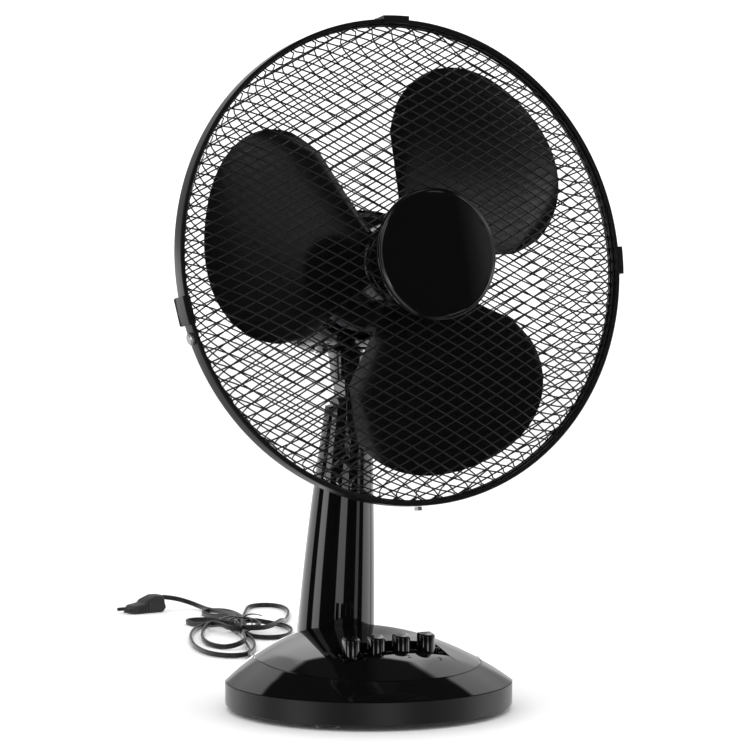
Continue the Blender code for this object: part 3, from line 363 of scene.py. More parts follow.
def make_base():
    angles = [2 * pi * i / 144 for i in range(144)]
    groove, half = 0.0007, 0.0055
    outer = [[dome_share_point(a, s) for a in angles] for s in [0.10 + 0.065 * k for k in range(10)]]
    for offset, drop in ((-half, 0), (-half * 0.35, groove), (half * 0.35, groove), (half, 0)):
        outer.append([dome_share_point(a, seam_share(a) + offset, drop) for a in angles])
    for s in (0.88, 0.905, 0.93, 0.955, 0.975, 0.988, 0.996):
        outer.append([dome_share_point(a, s) for a in angles])
    edge = [[(x, y, RIM_HEIGHT) for x, y in circle(BASE_RADIUS, 144)]]
    lip = [[(x, y, RIM_HEIGHT) for x, y in circle(BASE_RADIUS - SHELL, 144)]]
    inner_shares = [0.97, 0.92, 0.84, 0.72, 0.58, 0.42, 0.26, 0.12]
    inner = [[dome_share_point(a, s, SHELL, SHELL) for a in angles] for s in inner_shares]
    dome = piece("dome_cover", lofted(outer + edge + lip + inner), "base", "gloss_black", ["base_cover"])
    size = BEZEL_HIGH - BEZEL_LOW
    opening = block((size.x + 0.0008, size.y + 0.0008, 0.05), (0, BUTTON_Y, BEZEL_HIGH.z + 0.008))
    foot = lofted([column_ring(z, inset=-0.0004, count=96) for z in (0.030, 0.050, 0.070, 0.090)])
    carve(dome, [opening, foot])

    floor, wall = TRAY_LOW + SHELL, BASE_RADIUS - SHELL
    outline = [
        (0, TRAY_LOW), (0.060, TRAY_LOW), (0.060, TRAY_LOW + 0.0012), (0.066, TRAY_LOW + 0.0012),
        (0.066, TRAY_LOW), (BASE_RADIUS - 0.0012, TRAY_LOW), (BASE_RADIUS, TRAY_LOW + 0.0012),
        (BASE_RADIUS, TRAY_HIGH - 0.0005), (BASE_RADIUS - 0.0005, TRAY_HIGH), (wall, TRAY_HIGH),
        (wall, floor), (0, floor),
    ]
    tray = piece("tray", turned(outline, 160), "base", "satin_black", ["base_tray"], look=BAND)
    relief_hole = rod(0.0047, -0.02, 0.02, 32)
    relief_z = (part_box("strain_relief")[0].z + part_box("strain_relief")[1].z) / 2
    across = Matrix.Translation((0, BASE_RADIUS, relief_z)) @ Matrix.Rotation(pi / 2, 4, "X")
    carve(tray, [moved(relief_hole, across)])
    make_feet()


def make_feet():
    top = TRAY_LOW - 0.0004
    for i in range(1, 5):
        low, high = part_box(f"foot_{i}")
        radius = (high.x - low.x) / 2
        outline = [
            (0, 0.0008), (radius * 0.45, 0.0008), (radius * 0.55, 0), (radius * 0.88, 0),
            (radius, 0.0010), (radius, top), (0, top),
        ]
        place = Matrix.Translation(((low.x + high.x) / 2, (low.y + high.y) / 2, 0))
        piece(f"rubber_foot_{i}", moved(turned(outline, 40), place), "base", "rubber_black", [f"foot_{i}"])


def column_section(height):
    share = max(0, (height - TRAY_HIGH) / (TILT_POINT.z - TRAY_HIGH))
    width = COLUMN_WIDTH + (COLUMN_TOP_WIDTH - COLUMN_WIDTH) * share**1.5
    centre = COLUMN_FOOT_Y + (TILT_POINT.y - COLUMN_FOOT_Y) * share**1.25
    return width, width * COLUMN_DEPTH_SHARE, centre


def column_ring(height, inset=0.0, count=96):
    width, depth, centre = column_section(height)
    return [(x * (width - inset), centre + y * (depth - inset), height) for x, y in circle(1, count)]


def make_column():
    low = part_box("column")[0].z
    heights = [low + (COLUMN_TOP - 0.0012 - low) * k / 40 for k in range(41)]
    outer = [column_ring(z) for z in heights]
    outer += [column_ring(COLUMN_TOP - 0.0004, 0.0003), column_ring(COLUMN_TOP, 0.0010)]
    inner = [column_ring(z, SHELL) for z in [COLUMN_TOP, *heights[::-5]]]
    piece("column_shell", lofted(outer + inner, closed=True), "base", "gloss_black", ["column"])


def make_bezel():
    size = BEZEL_HIGH - BEZEL_LOW
    half_x, half_y, sunk, across, depth = size.x / 2, size.y / 2, 0.0012, 40, 10
    floor = BEZEL_LOW.z + 0.0025
    rings = []
    for i in range(across + 1):
        x = half_x * (2 * i / across - 1)
        rows = [BUTTON_Y - half_y + size.y * j / depth for j in range(depth + 1)]
        top = [(x, y, dome_height(x, y) - sunk) for y in rows]
        rings.append([(x, rows[-1], BEZEL_LOW.z), (x, rows[0], BEZEL_LOW.z), *top])
    gloss = LOOKS["gloss_black"]
    made = piece("key_tray", lofted(rings), "base", "satin_black", ["button_bezel"], look=gloss)
    wall = 0.0015
    inside = block((size.x - 2 * wall, size.y - 2 * wall, 0.03), (0, BUTTON_Y, floor + 0.015))
    side = BUTTON_RADIUS + 0.0005
    middles = [(i - 1.5) * BUTTON_PITCH for i in range(4)]
    slots = [block((2 * side, 2 * side, 0.02), (x, BUTTON_Y, floor - 0.004)) for x in middles]
    carve(made, [inside, combined(*slots)])
    ribs = []
    edge = 1.5 * BUTTON_PITCH + side
    spots = [(x * BUTTON_PITCH, BUTTON_PITCH - 2 * side - 0.0012) for x in (-1, 0, 1)]
    spots += [(x * (edge + half_x - wall) / 2, half_x - wall - edge - 0.0014) for x in (-1, 1)]
    for x, width in spots:
        for y, height in ((BUTTON_Y - 0.0060, 0.0075), (BUTTON_Y + 0.0010, 0.0105)):
            ribs.append(block((width, 0.0040, height), (x, y, floor + height / 2 + 0.0001)))
    piece("key_ribs", combined(*ribs), "base", "gloss_black", bevel=0.0008)


def make_buttons():
    for i in range(4):
        low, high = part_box(f"button_{i}")
        cap_low = BEZEL_LOW.z + 0.0025 - 0.010
        front = circle(BUTTON_RADIUS, 25, pi, pi)
        outline = front + [(BUTTON_RADIUS, BUTTON_RADIUS), (-BUTTON_RADIUS, BUTTON_RADIUS)]
        height = high.z - cap_low
        bm = prism(outline, 0, height)
        for v in bm.verts:
            if v.co.z > height / 2:
                v.co.z += 0.16 * v.co.y - 0.16 * BUTTON_RADIUS
        stem = block((0.006, 0.008, cap_low - low.z + 0.002), (0, 0, -(cap_low - low.z) / 2 + 0.001))
        place = Matrix.Translation(((low.x + high.x) / 2, BUTTON_Y, cap_low))
        key = piece(f"key_{i}_cap", bm, f"key_{i}", "gloss_black", [f"button_{i}"], place, bevel=0.0020)
        bpy.context.view_layer.objects.active = key
        with bpy.context.temp_override(object=key, active_object=key):
            bpy.ops.object.modifier_apply(modifier="rounded edges")
        carve(key, [moved(stem, place)], "UNION")


def make_marks():
    """A curved sign and four plain numbers in matte ink on the dome, in front of the keys."""
    spots = {"0": (-0.040, -0.057), "1": (-0.016, -0.0625), "2": (0.008, -0.067), "3": (0.038, -0.070)}
    for text, place in spots.items():
        curve = bpy.data.curves.new(f"mark_{text}", "FONT")
        curve.body = text
        curve.size = 0.0078
        curve.align_x = "CENTER"
        curve.extrude = 0.00006
        on_dome(f"mark_{text}", curve, *place)
    swirl = bpy.data.curves.new("mark_swing", "CURVE")
    swirl.dimensions = "3D"
    swirl.bevel_depth = 0.00028
    for start in (0.2, 0.2 + pi):
        spline = swirl.splines.new("POLY")
        turns = [(k / 11, start + 2.6 * k / 11) for k in range(12)]
        points = [(0.0022 * (1 - 0.35 * t) * cos(a), 0.0022 * sin(a)) for t, a in turns]
        spline.points.add(len(points) - 1)
        for target, (x, y) in zip(spline.points, points, strict=True):
            target.co = (x, y + 0.002, 0, 1)
    on_dome("mark_swing", swirl, -0.0575, -0.0345)


def on_dome(name, curve, x, y):
    normal = dome_normal(x, y)
    side = (RIGHT - normal * RIGHT.dot(normal)).normalized()
    made = bpy.data.objects.new(name, curve)
    spot = Vector((x, y, dome_height(x, y))) + normal * 0.00008
    turn = Matrix((side, normal.cross(side), normal)).transposed().to_4x4()
    made.matrix_world = Matrix.Translation(spot) @ turn
    curve.materials.append(INK)
    bpy.context.scene.collection.objects.link(made)
    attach(made, "base")


# Neck
def bolt_hole(stand):
    return moved(rod(0.0038, -0.03, 0.03, 32), stand @ Matrix.Rotation(pi / 2, 4, "Y"))


def make_fork():
    """The casting in the column's top: a rounded collar with two cheeks."""
    low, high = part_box("neck_fork")
    cheek_out = high.x if high.x < 0.020 else 0.0139
    base_top = TILT_POINT.z - 0.014
    levels = [low.z, base_top - 0.011, base_top]
    plug = lofted([column_ring(z, SHELL + 0.0008) for z in levels])
    fork = piece("fork_collar", plug, "base", "satin_black", ["neck_fork"])
    inner = 0.0084
    cheeks = []
    for side in (-1, 1):
        foot = base_top - 0.002 - TILT_POINT.z
        cheek = prism([*circle(0.012, 25, 0, pi), (-0.012, foot), (0.012, foot)], inner, cheek_out)
        mirror = Matrix.Diagonal((side, 1, 1, 1))
        cheeks.append(moved(cheek, Matrix.Translation(TILT_POINT) @ mirror @ ACROSS))
    carve(fork, [combined(*cheeks)], "UNION")
    carve(fork, [bolt_hole(Matrix.Translation(TILT_POINT))])
    add_bevel(fork, 0.0007)


def make_neck():
    """The tilting neck: a flat tongue that grows into a round gloss stem under a wide disc."""
    height = (SWING_POINT - TILT_POINT).length
    disc_low, disc_high = height - COVER_BOTTOM - 0.002, height - 0.058
    tongue = prism([*circle(0.012, 25, pi, pi), (0.012, 0.032), (-0.012, 0.032)], -0.008, 0.008)
    tongue, gloss = moved(tongue, ACROSS), LOOKS["gloss_black"]
    neck = piece("neck_stem", tongue, "neck", "satin_black", ["tilt_neck"], NECK, gloss)
    stem = []
    for k in range(11):
        t = k / 10
        z = 0.027 + (disc_low + 0.0005 - 0.027) * t
        width, depth = 0.0135 + 0.0010 * t**2, 0.0145 + 0.0030 * t**2
        ring = []
        for x, y in circle(1, 48):
            size = (abs(x) ** 3 + abs(y) ** 3) ** (-1 / 3)
            ring.append((x * size * width, y * size * depth, z))
        stem.append(ring)
    radius = (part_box("tilt_neck")[1].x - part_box("tilt_neck")[0].x) / 2
    disc = rod(radius, disc_low, disc_high, 96, 0.0012)
    pin = rod(0.0060, disc_high - 0.001, height - 0.0195, 32, 0.0006)
    arm = rod(0.0025, disc_high - 0.001, disc_high + 0.0112, 24, 0.0004)
    arm = moved(arm, Matrix.Translation((0.024, 0, 0)))
    carve(neck, [moved(bm, NECK) for bm in (lofted(stem), disc, pin, arm)], "UNION")
    carve(neck, [bolt_hole(NECK)])


# Grilles
def front_dome(radius):
    return 0.0029 + FRONT_DEPTH * sqrt(max(0, 1 - (radius / SHOULDER) ** 2))


def rear_dome(radius):
    return -0.0029 - REAR_DEPTH * max(0, 1 - (radius / SHOULDER) ** 2.8) ** (1 / 2.2)


def wire_lines(dome, hole=0.0):
    """Two crossing families of straight wires, seen along the axis, that lie on the dome."""
    lines = []
    for family, slope in enumerate((WIRE_SLOPE, -WIRE_SLOPE)):
        lift = WIRE * 0.45 * (1 if family else -1)
        way, normal = Vector((cos(slope), sin(slope))), Vector((-sin(slope), cos(slope)))
        count = int(RIM / WIRE_PITCH + 0.5)
        for k in range(-count, count):
            offset = (k + 0.5) * WIRE_PITCH
            if abs(offset) > RIM - 0.002:
                continue
            half = sqrt(RIM**2 - offset**2)
            steps = max(6, int(half / 0.0062))
            line = []
            for i in range(steps + 1):
                spot = normal * offset + way * (half * sin(pi / 2 * (2 * i / steps - 1)))
                if spot.length < hole:
                    if len(line) > 1:
                        lines.append(line)
                    line = []
                    continue
                line.append((spot.x, spot.y, dome(spot.length) + lift))
            if len(line) > 1:
                lines.append(line)
    return lines


def wire_curve(name, node, lines, rim_height):
    """The wires and their thicker rim wire as one curve with a round section."""
    curve = bpy.data.curves.new(name, "CURVE")
    curve.dimensions = "3D"
    curve.bevel_depth = WIRE / 2
    curve.bevel_resolution = 1
    curve.use_fill_caps = True
    for line in lines:
        spline = curve.splines.new("POLY")
        spline.points.add(len(line) - 1)
        for target, spot in zip(spline.points, line, strict=True):
            target.co = (*(FACE @ Vector(spot)), 1)
    rim = curve.splines.new("POLY")
    rim.use_cyclic_u = True
    spots = circle(RIM, 128)
    rim.points.add(len(spots) - 1)
    for target, (x, y) in zip(rim.points, spots, strict=True):
        target.co = (*(FACE @ Vector((x, y, rim_height))), 1)
        target.radius = RIM_WIRE / WIRE
    curve.materials.append(LOOKS["wire_black"])
    made = bpy.data.objects.new(name, curve)
    bpy.context.scene.collection.objects.link(made)
    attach(made, "head")
    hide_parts(node)


def make_grilles():
    wire_curve("front_mesh", "front_grille", wire_lines(front_dome), front_dome(RIM))
    wire_curve("rear_mesh", "rear_grille", wire_lines(rear_dome, hole=0.036), rear_dome(RIM))
    middle = rear_dome(0)
    low, high = middle - 0.0017, middle + 0.0017
    plate = rounded([(0.022, low), (0.050, low), (0.050, high), (0.022, high)], 0.0006)
    made = piece("rear_plate", turned(plate, 96), "head", "wire_black", matrix=FACE)
    holes = []
    for x, y in circle(0.040, 4, pi / 4):
        holes.append(moved(rod(0.0025, -0.01, 0.01, 20), FACE @ Matrix.Translation((x, y, middle))))
    carve(made, [combined(*holes)])

    half = RING_DEPTH / 2
    wall, lip = RING_RADIUS - RING_WALL, RING_RADIUS - RING_LIP
    outline = [(lip, -half), (RING_RADIUS, -half), (RING_RADIUS, half), (lip, half), (lip, half - RING_WALL)]
    outline += [(wall, half - RING_WALL), (wall, RING_WALL - half), (lip, RING_WALL - half)]
    ring = turned(rounded(outline, 0.0011, 5), 200)
    piece("clamp_band", ring, "head", "gloss_black", ["clamp_ring"], FACE, RING_BLACK)

    low = front_dome(0) + 0.0012 + 0.0008
    cap = [
        (0, low), (CAP_RADIUS - 0.0008, low), (CAP_RADIUS, low + 0.0006), (CAP_RADIUS, low + 0.0036),
        (CAP_RADIUS - 0.0011, low + 0.0047), (CAP_RADIUS - 0.0020, low + 0.0042),
        (CAP_RADIUS - 0.0027, low + 0.0047), (CAP_RADIUS - 0.0040, low + 0.0050),
    ]
    for k in range(13):
        share = 1 - k / 12
        cap.append((CAP_RADIUS * share * 0.93, low + 0.0062 - 0.0012 * share**2))
    cap = turned(rounded(cap, 0.0004, 2), 160)
    piece("centre_cap", cap, "head", "gloss_black", ["grille_cap"], FACE)

    nut_low = middle + 0.0017 + 0.0004
    nut_high = nut_low + 0.008
    outline = rounded([(0.0200, nut_low), (0.032, nut_low), (0.030, nut_high), (0.0200, nut_high)], 0.0012)
    nut = piece("cage_nut", turned(outline, 96), "head", "satin_black", ["grille_nut"], FACE)
    grips = []
    for k in range(12):
        turn = Matrix.Rotation(2 * pi * k / 12, 4, "Z") @ Matrix.Translation((0.0335, 0, nut_low))
        grips.append(moved(rod(0.0036, -0.001, 0.0095, 20), FACE @ turn))
    carve(nut, [combined(*grips)])


def make_clips():
    """Spring clips: a strap over the clamp ring with a curled lip in front and a rolled knuckle behind."""
    half = RING_DEPTH / 2
    inner, outer = RING_RADIUS + 0.0004, RING_RADIUS + 0.0028
    for where, degree in (("top", 90), ("side", 0), ("left", 191)):
        node, body, angle = f"clip_{where}", f"{where}_clip", radians(degree)
        outline = [
            (inner, -half - 0.0018), (outer, -half - 0.0018), (outer, half + 0.0024),
            (RING_RADIUS - 0.0040, half + 0.0024), (RING_RADIUS - 0.0040, half + 0.0004),
            (inner, half + 0.0004),
        ]
        width = radians(6.6)
        strap = turned(rounded(outline, 0.0007), 24, width, angle - width / 2)
        made = piece(node + "_strap", strap, body, MEMBER_SLOT[node], [node], FACE, RING_BLACK)
        inward = Vector((cos(angle), sin(angle), 0))
        knuckle = rod(0.0017, -0.0118, 0.0118, 20, 0.0003)
        tangent = Vector((-sin(angle), cos(angle), 0))
        lie = Matrix((inward, Vector((0, 0, 1)), tangent)).transposed().to_4x4()
        spot = Matrix.Translation(inward * (outer - 0.0012) + Vector((0, 0, -half - 0.0012)))
        carve(made, [moved(knuckle, FACE @ spot @ lie)], "UNION")


# Impeller
def blade_point(root, across, along, side):
    """across is -1 to 1 from edge to edge, along is 0 at the hub and 1 at the tip, side is 1 in front."""
    reach = 1 - abs(across) ** 3 * 0.22 - max(0, across) ** 3 * 0.03
    narrow = 1 - 0.10 * (1 - along) ** 2
    angle = root + across * BLADE_SPAN / 2 * narrow * (1 - 0.10 * max(0, along - 0.75) * 4 * abs(across))
    start = HUB_RADIUS - 0.003
    radius = start + (BLADE_RADIUS * reach - start) * along
    lift = BLADE_PITCH * across * (0.55 + 0.45 * along) + BLADE_DISH * (1 - across**2) * along
    thick = 0.0011 * (1 - 0.72 * max(abs(across), along) ** 12) * (1.25 - 0.35 * along)
    return (radius * cos(angle), radius * sin(angle), BLADES_AT + lift + side * thick)


def blade(root, columns=37, rows=27):
    bm = bmesh.new()
    sheets = []
    for side in (1, -1):
        grid = []
        for j in range(rows):
            along = (j / (rows - 1)) ** 0.8
            across = [sin(pi / 2 * (2 * i / (columns - 1) - 1)) for i in range(columns)]
            grid.append([bm.verts.new(blade_point(root, a, along, side)) for a in across])
        sheets.append(grid)
    top, low = sheets
    for j in range(rows - 1):
        for i in range(columns - 1):
            bm.faces.new((top[j][i], top[j][i + 1], top[j + 1][i + 1], top[j + 1][i]))
            bm.faces.new((low[j][i], low[j + 1][i], low[j + 1][i + 1], low[j][i + 1]))
    edge = [(0, i) for i in range(columns)]
    edge += [(j, columns - 1) for j in range(1, rows)]
    edge += [(rows - 1, i) for i in range(columns - 2, -1, -1)]
    edge += [(j, 0) for j in range(rows - 2, 0, -1)]
    for (a, b), (c, d) in zip(edge, edge[1:] + edge[:1], strict=True):
        bm.faces.new((top[a][b], low[a][b], low[c][d], top[c][d]))
    return bm


def make_impeller():
    front, rear, wall, bore = BLADES_AT + 0.010, BLADES_AT - 0.030, 0.0025, 0.0044
    outline = [
        (bore, front - 0.030), (0.009, front - 0.030), (0.009, front - wall),
        (HUB_RADIUS - wall, front - wall), (HUB_RADIUS - wall, rear), (HUB_RADIUS, rear),
        (HUB_RADIUS, front - 0.004), (HUB_RADIUS - 0.004, front), (bore, front),
    ]
    shell = turned(rounded(outline, 0.0016), 96)
    hub = piece("fan_blades", shell, "rotor", "blade_black", ["impeller"], FACE)
    for root in BLADE_ROOTS:
        carve(hub, [moved(blade(radians(root)), FACE)], "UNION")
    ribs = []
    for k in range(6):
        centre = ((HUB_RADIUS - wall + 0.0082) / 2, 0, front - wall - 0.0138)
        rib = block((HUB_RADIUS - wall - 0.0082, 0.0016, 0.028), centre)
        ribs.append(moved(rib, FACE @ Matrix.Rotation(pi / 6 + k * pi / 3, 4, "Z")))
    piece("hub_ribs", combined(*ribs), "rotor", "blade_black")

    end = front + 0.0055
    nut = [
        (0, end + 0.008), (0.006, end + 0.0075), (0.010, end + 0.006), (0.0145, front + 0.0024),
        (0.0145, front + 0.0004), (bore, front + 0.0004), (bore, end), (0, end),
    ]
    nut = turned(rounded(nut, 0.0008), 64)
    spinner = piece("spinner", nut, "rotor", "satin_black", ["spinner_nut"], FACE)
    wings = []
    for k in range(8):
        turn = Matrix.Rotation(2 * pi * k / 8, 4, "Z") @ Matrix.Translation((0.0168, 0, front))
        wings.append(moved(rod(0.0034, -0.001, 0.02, 20), FACE @ turn))
    carve(spinner, [combined(*wings)])


# Motor cover and knob
def cover_section(t):
    """(forward, half width, top, bottom) along the cover, t from 0 in front to 1 at the back."""
    stops = [
        (0.0, 0.0570, 0.0570, COVER_BOTTOM - 0.005), (0.13, 0.0580, 0.0580, COVER_BOTTOM),
        (0.53, 0.0565, 0.0565, COVER_BOTTOM), (0.77, 0.0520, 0.0500, COVER_BOTTOM - 0.002),
        (0.915, 0.0440, 0.0400, COVER_BOTTOM - 0.010), (1.0, 0.0280, 0.0240, COVER_BOTTOM - 0.026),
    ]
    for (a, *low), (b, *high) in zip(stops, stops[1:]):
        if t <= b:
            u = (t - a) / (b - a)
            break
    i = [s[0] for s in stops].index(a)
    before = stops[max(0, i - 1)]
    after = stops[min(len(stops) - 1, i + 2)]
    values = []
    for k in range(3):
        p0, p1, p2, p3 = before[k + 1], low[k], high[k], after[k + 1]
        m1 = (p2 - p0) / (b - before[0]) * (b - a) if i else (p2 - p1)
        m2 = (p3 - p1) / (after[0] - a) * (b - a) if i + 2 < len(stops) else (p2 - p1) * 1.6
        near, far = 2 * u**3 - 3 * u**2 + 1, 3 * u**2 - 2 * u**3
        values.append(p1 * near + m1 * (u**3 - 2 * u**2 + u) + p2 * far + m2 * (u**3 - u**2))
    return (MOTOR_FRONT - 0.0005 - COVER_LENGTH * t, *values)


def cover_ring(forward, width, top, bottom, inset, count=112):
    ring = []
    for x, z in circle(1, count):
        size = (abs(x) ** 2.6 + abs(z) ** 2.6) ** (-1 / 2.6)
        tall = (top if z > 0 else bottom) - inset
        ring.append((x * size * (width - inset), -forward, z * size * tall))
    return ring


def make_motor_cover():
    wall = 0.0022
    shares = [0.0, 0.01, 0.03] + [k / 40 for k in range(3, 21)]
    seam = 0.53
    shares += [seam - 0.006, seam - 0.003, seam + 0.003, seam + 0.006]
    shares += [k / 40 for k in range(22, 37)] + [0.93, 0.95, 0.965, 0.98, 0.99, 1.0]
    outer = []
    for t in shares:
        dip = 0.0007 if abs(t - seam) < 0.004 else 0.0
        outer.append(cover_ring(*cover_section(t), dip))
    back = cover_section(1.0)
    inner = [cover_ring(*cover_section(k / 12), wall) for k in range(12)]
    inner.append(cover_ring(back[0] + wall, *back[1:], wall))
    skin = lofted(outer[::-1] + inner)
    shell = piece("motor_shell", skin, "head", "gloss_black", ["motor_cover"], HEAD)
    radius = (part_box("tilt_neck")[1].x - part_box("tilt_neck")[0].x) / 2
    mouth = moved(rod(radius + 0.0025, -0.10, -0.040, 96), HEAD @ Matrix.Translation((0, RING_AHEAD, 0)))
    knob_hole = moved(rod(0.0045, 0.03, 0.08, 48), KNOB_STAND)
    slots = [block((0.050, 0.030, 0.004), (0, -back[0], z)) for z in (-0.024, -0.014, -0.004, 0.006)]
    carve(shell, [mouth, knob_hole, moved(combined(*slots), HEAD)])


def make_knob():
    """A pull knob with a fluted side."""
    radius = (KNOB_HIGH.x - KNOB_LOW.x) / 2
    low, bore = 0.0605, 0.0040
    outline = [
        (bore, low), (radius - 0.001, low), (radius, low + 0.002), (radius, low + 0.0135),
        (radius - 0.0018, low + 0.016), (0, low + 0.0155), (0, 0.0665), (bore, 0.0665),
    ]
    solid = turned(rounded(outline, 0.0006), 72)
    knob = piece("pull_knob", solid, "knob", "gloss_black", ["swing_knob"], KNOB_STAND)
    flutes = []
    for k in range(18):
        spot = Matrix.Rotation(2 * pi * k / 18, 4, "Z") @ Matrix.Translation((radius + 0.0004, 0, low))
        flutes.append(moved(rod(0.0009, 0.002, 0.013, 12), KNOB_STAND @ spot))
    carve(knob, [combined(*flutes)])


# Cord
CORD_WIDTH, CORD_THICK = 0.0054, 0.0032
RELIEF_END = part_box("strain_relief")[1].y
EXIT = Vector((0, RELIEF_END + 0.0003, 0.014))
TIE = Vector((0.085, 0.493))
TIE_WAY = Vector((0.426, 0.905)).normalized()
TIE_SIDE = Vector((TIE_WAY.y, -TIE_WAY.x))
TIE_TAIL = ((0.002, 0, 0.0155), (0.006, 0.008, 0.0195), (0.012, 0.015, 0.0190), (0.016, 0.022, 0.0160))
CORNERS = ((-1, -1), (1, -1), (1, 1), (-1, 1))
LOW = 0.0031


def tie_pass(number):
    """Two points where a strand goes through the tie: four lie side by side and the rest lie on them."""
    layer, spot = divmod(number, 4)
    middle = TIE + TIE_SIDE * (spot - 1.5) * 0.0040
    height = LOW + layer * 0.0057
    return [Vector((*(middle + TIE_WAY * 0.009 * sign), height)) for sign in (-1, 1)]


def floor_points(*spots):
    """Points in millimetres, each with the height of the strand's middle if it lies on another."""
    return [Vector((s[0] / 1000, s[1] / 1000, (s[2] / 1000 if len(s) > 2 else LOW))) for s in spots]


def cord_points():
    """The route from the base to the plug: in the tie it passes seven times."""
    y = EXIT.y
    falls = [(0, 0.018, 0.0125), (0.0005, 0.036, 0.0080), (0.0015, 0.054, 0.0042)]
    falls += [(0.0030, 0.074, LOW), (0.0050, 0.098, LOW), (0.0080, 0.125, LOW)]
    tail = [EXIT, *[Vector((x, y + on, z)) for x, on, z in falls]]
    tail += floor_points((19, 318), (42, 356), (62, 405), (73, 447))
    left_wide = floor_points(
        (91, 524), (84, 540), (66, 541), (44, 520), (22, 480), (4, 434), (-9, 386), (-11, 342), (4, 318),
        (24, 328), (38, 362), (52, 404), (66, 442),
    )
    left_small = floor_points(
        (86, 520, 6), (74, 528, 8), (56, 515, 8), (36, 482, 3), (20, 440, 3), (13, 402, 3), (22, 374, 3),
        (40, 378, 8), (53, 408, 8), (65, 440, 8),
    )
    right_loop = floor_points(
        (99, 517, 8), (114, 525, 8), (131, 519, 4), (140, 498), (134, 468), (119, 438), (100, 420),
        (82, 424), (76, 444),
    )
    far_loop = floor_points(
        (102, 527, 8), (120, 568, 3), (146, 620), (166, 658), (184, 669), (199, 657), (198, 625),
        (181, 580), (157, 536), (136, 500, 9), (113, 470, 9), (94, 454, 9), (80, 459, 9),
    )
    middle_loop = floor_points(
        (103, 530, 9), (118, 572, 6), (130, 612, 3), (130, 640), (115, 651), (99, 638), (97, 604),
        (103, 566, 8), (106, 535, 9), (108, 505, 9), (102, 478, 9), (90, 461, 9), (78, 462, 9),
    )
    near_loop = floor_points(
        (88, 520, 9), (90, 548, 6), (84, 578), (66, 588), (53, 572), (58, 545, 3), (66, 516, 8),
        (64, 490, 9), (62, 468, 9), (70, 455, 9),
    )
    lead = floor_points(
        (93, 516, 14), (100, 550, 12), (107, 600, 8), (113, 650, 4), (115.5, 672, 3.2), (113, 688, 5),
        (104, 698, 9), (90, 700.5, 13), (76, 696.5, 15),
    )
    route = tail
    loops = (left_wide, right_loop, left_small, far_loop, middle_loop, near_loop, lead)
    for number, loop in enumerate(loops):
        route = route + tie_pass(number) + loop
    return route


def smooth_route(points, step=0.0025):
    """Points a step apart along a curve through the given ones, then eased where it bends too tightly."""
    ends = [points[0] * 2 - points[1], *points, points[-1] * 2 - points[-2]]
    fine = []
    for a, b, c, d in zip(ends, ends[1:], ends[2:], ends[3:]):
        for k in range(16):
            t = k / 16
            bend = (2 * a - 5 * b + 4 * c - d) * t**2 + (3 * b - a - 3 * c + d) * t**3
            fine.append(0.5 * (2 * b + (c - a) * t + bend))
    fine.append(points[-1])
    for _ in range(3):
        fine = spaced(fine, step)
        for _ in range(10):
            eased = [p * 0.5 + (q + r) * 0.25 for q, p, r in zip(fine, fine[1:], fine[2:])]
            fine = [fine[0], *eased, fine[-1]]
    return spaced(fine, step)


def spaced(points, step):
    total = sum((b - a).length for a, b in zip(points, points[1:]))
    count = round(total / step)
    kept, gone, want = [points[0]], 0.0, total / count
    for a, b in zip(points, points[1:]):
        length = (b - a).length
        while gone + length >= want * len(kept) and len(kept) < count:
            kept.append(a.lerp(b, (want * len(kept) - gone) / length))
        gone += length
    return [*kept, points[-1]]


def side_and_up(route, i):
    """The two directions across the route at one of its points."""
    along = (route[min(i + 1, len(route) - 1)] - route[max(i - 1, 0)]).normalized()
    side = along.cross(Vector((0, 0, 1))).normalized()
    return side, side.cross(along)


def strip(route, wide, thin):
    """A flat strip along the route."""
    rings = []
    for i, spot in enumerate(route):
        side, up = side_and_up(route, i)
        rings.append([spot + side * u * wide + up * v * thin for u, v in CORNERS])
    return lofted(rings)


def flat_tube(route, flat_until):
    """A flat cord on edge along the route; its first stretch lies flat and then turns up."""
    rings = []
    gone = 0.0
    for i, spot in enumerate(route):
        if i:
            gone += (spot - route[i - 1]).length
        side, up = side_and_up(route, i)
        share = min(1, max(0, (gone - flat_until) / 0.10))
        lean = pi / 2 * (1 - share) + 0.16 * sin(gone * 23)
        wide, thin = up * cos(lean) + side * sin(lean), side * cos(lean) - up * sin(lean)
        ring = []
        for x, y in circle(1, 16):
            size = (abs(x) ** 3.2 + abs(y) ** 2.4) ** (-1 / 2.8)
            waist = 1 - 0.16 * max(0, 1 - (x * size / 0.45) ** 2)
            flat = thin * y * size * CORD_THICK / 2 * waist
            ring.append(spot + wide * x * size * CORD_WIDTH / 2 * 0.98 + flat)
        rings.append(ring)
    return lofted(rings)


def make_cord():
    route = smooth_route(cord_points())
    nodes = ["cord_tail", "cord_hank", "cord_lead"]
    cord = piece("mains_cord", flat_tube(route, 0.02), "base", "cord_grey", nodes, smooth=60)
    plug = make_plug()
    tie = make_tie()
    make_relief()


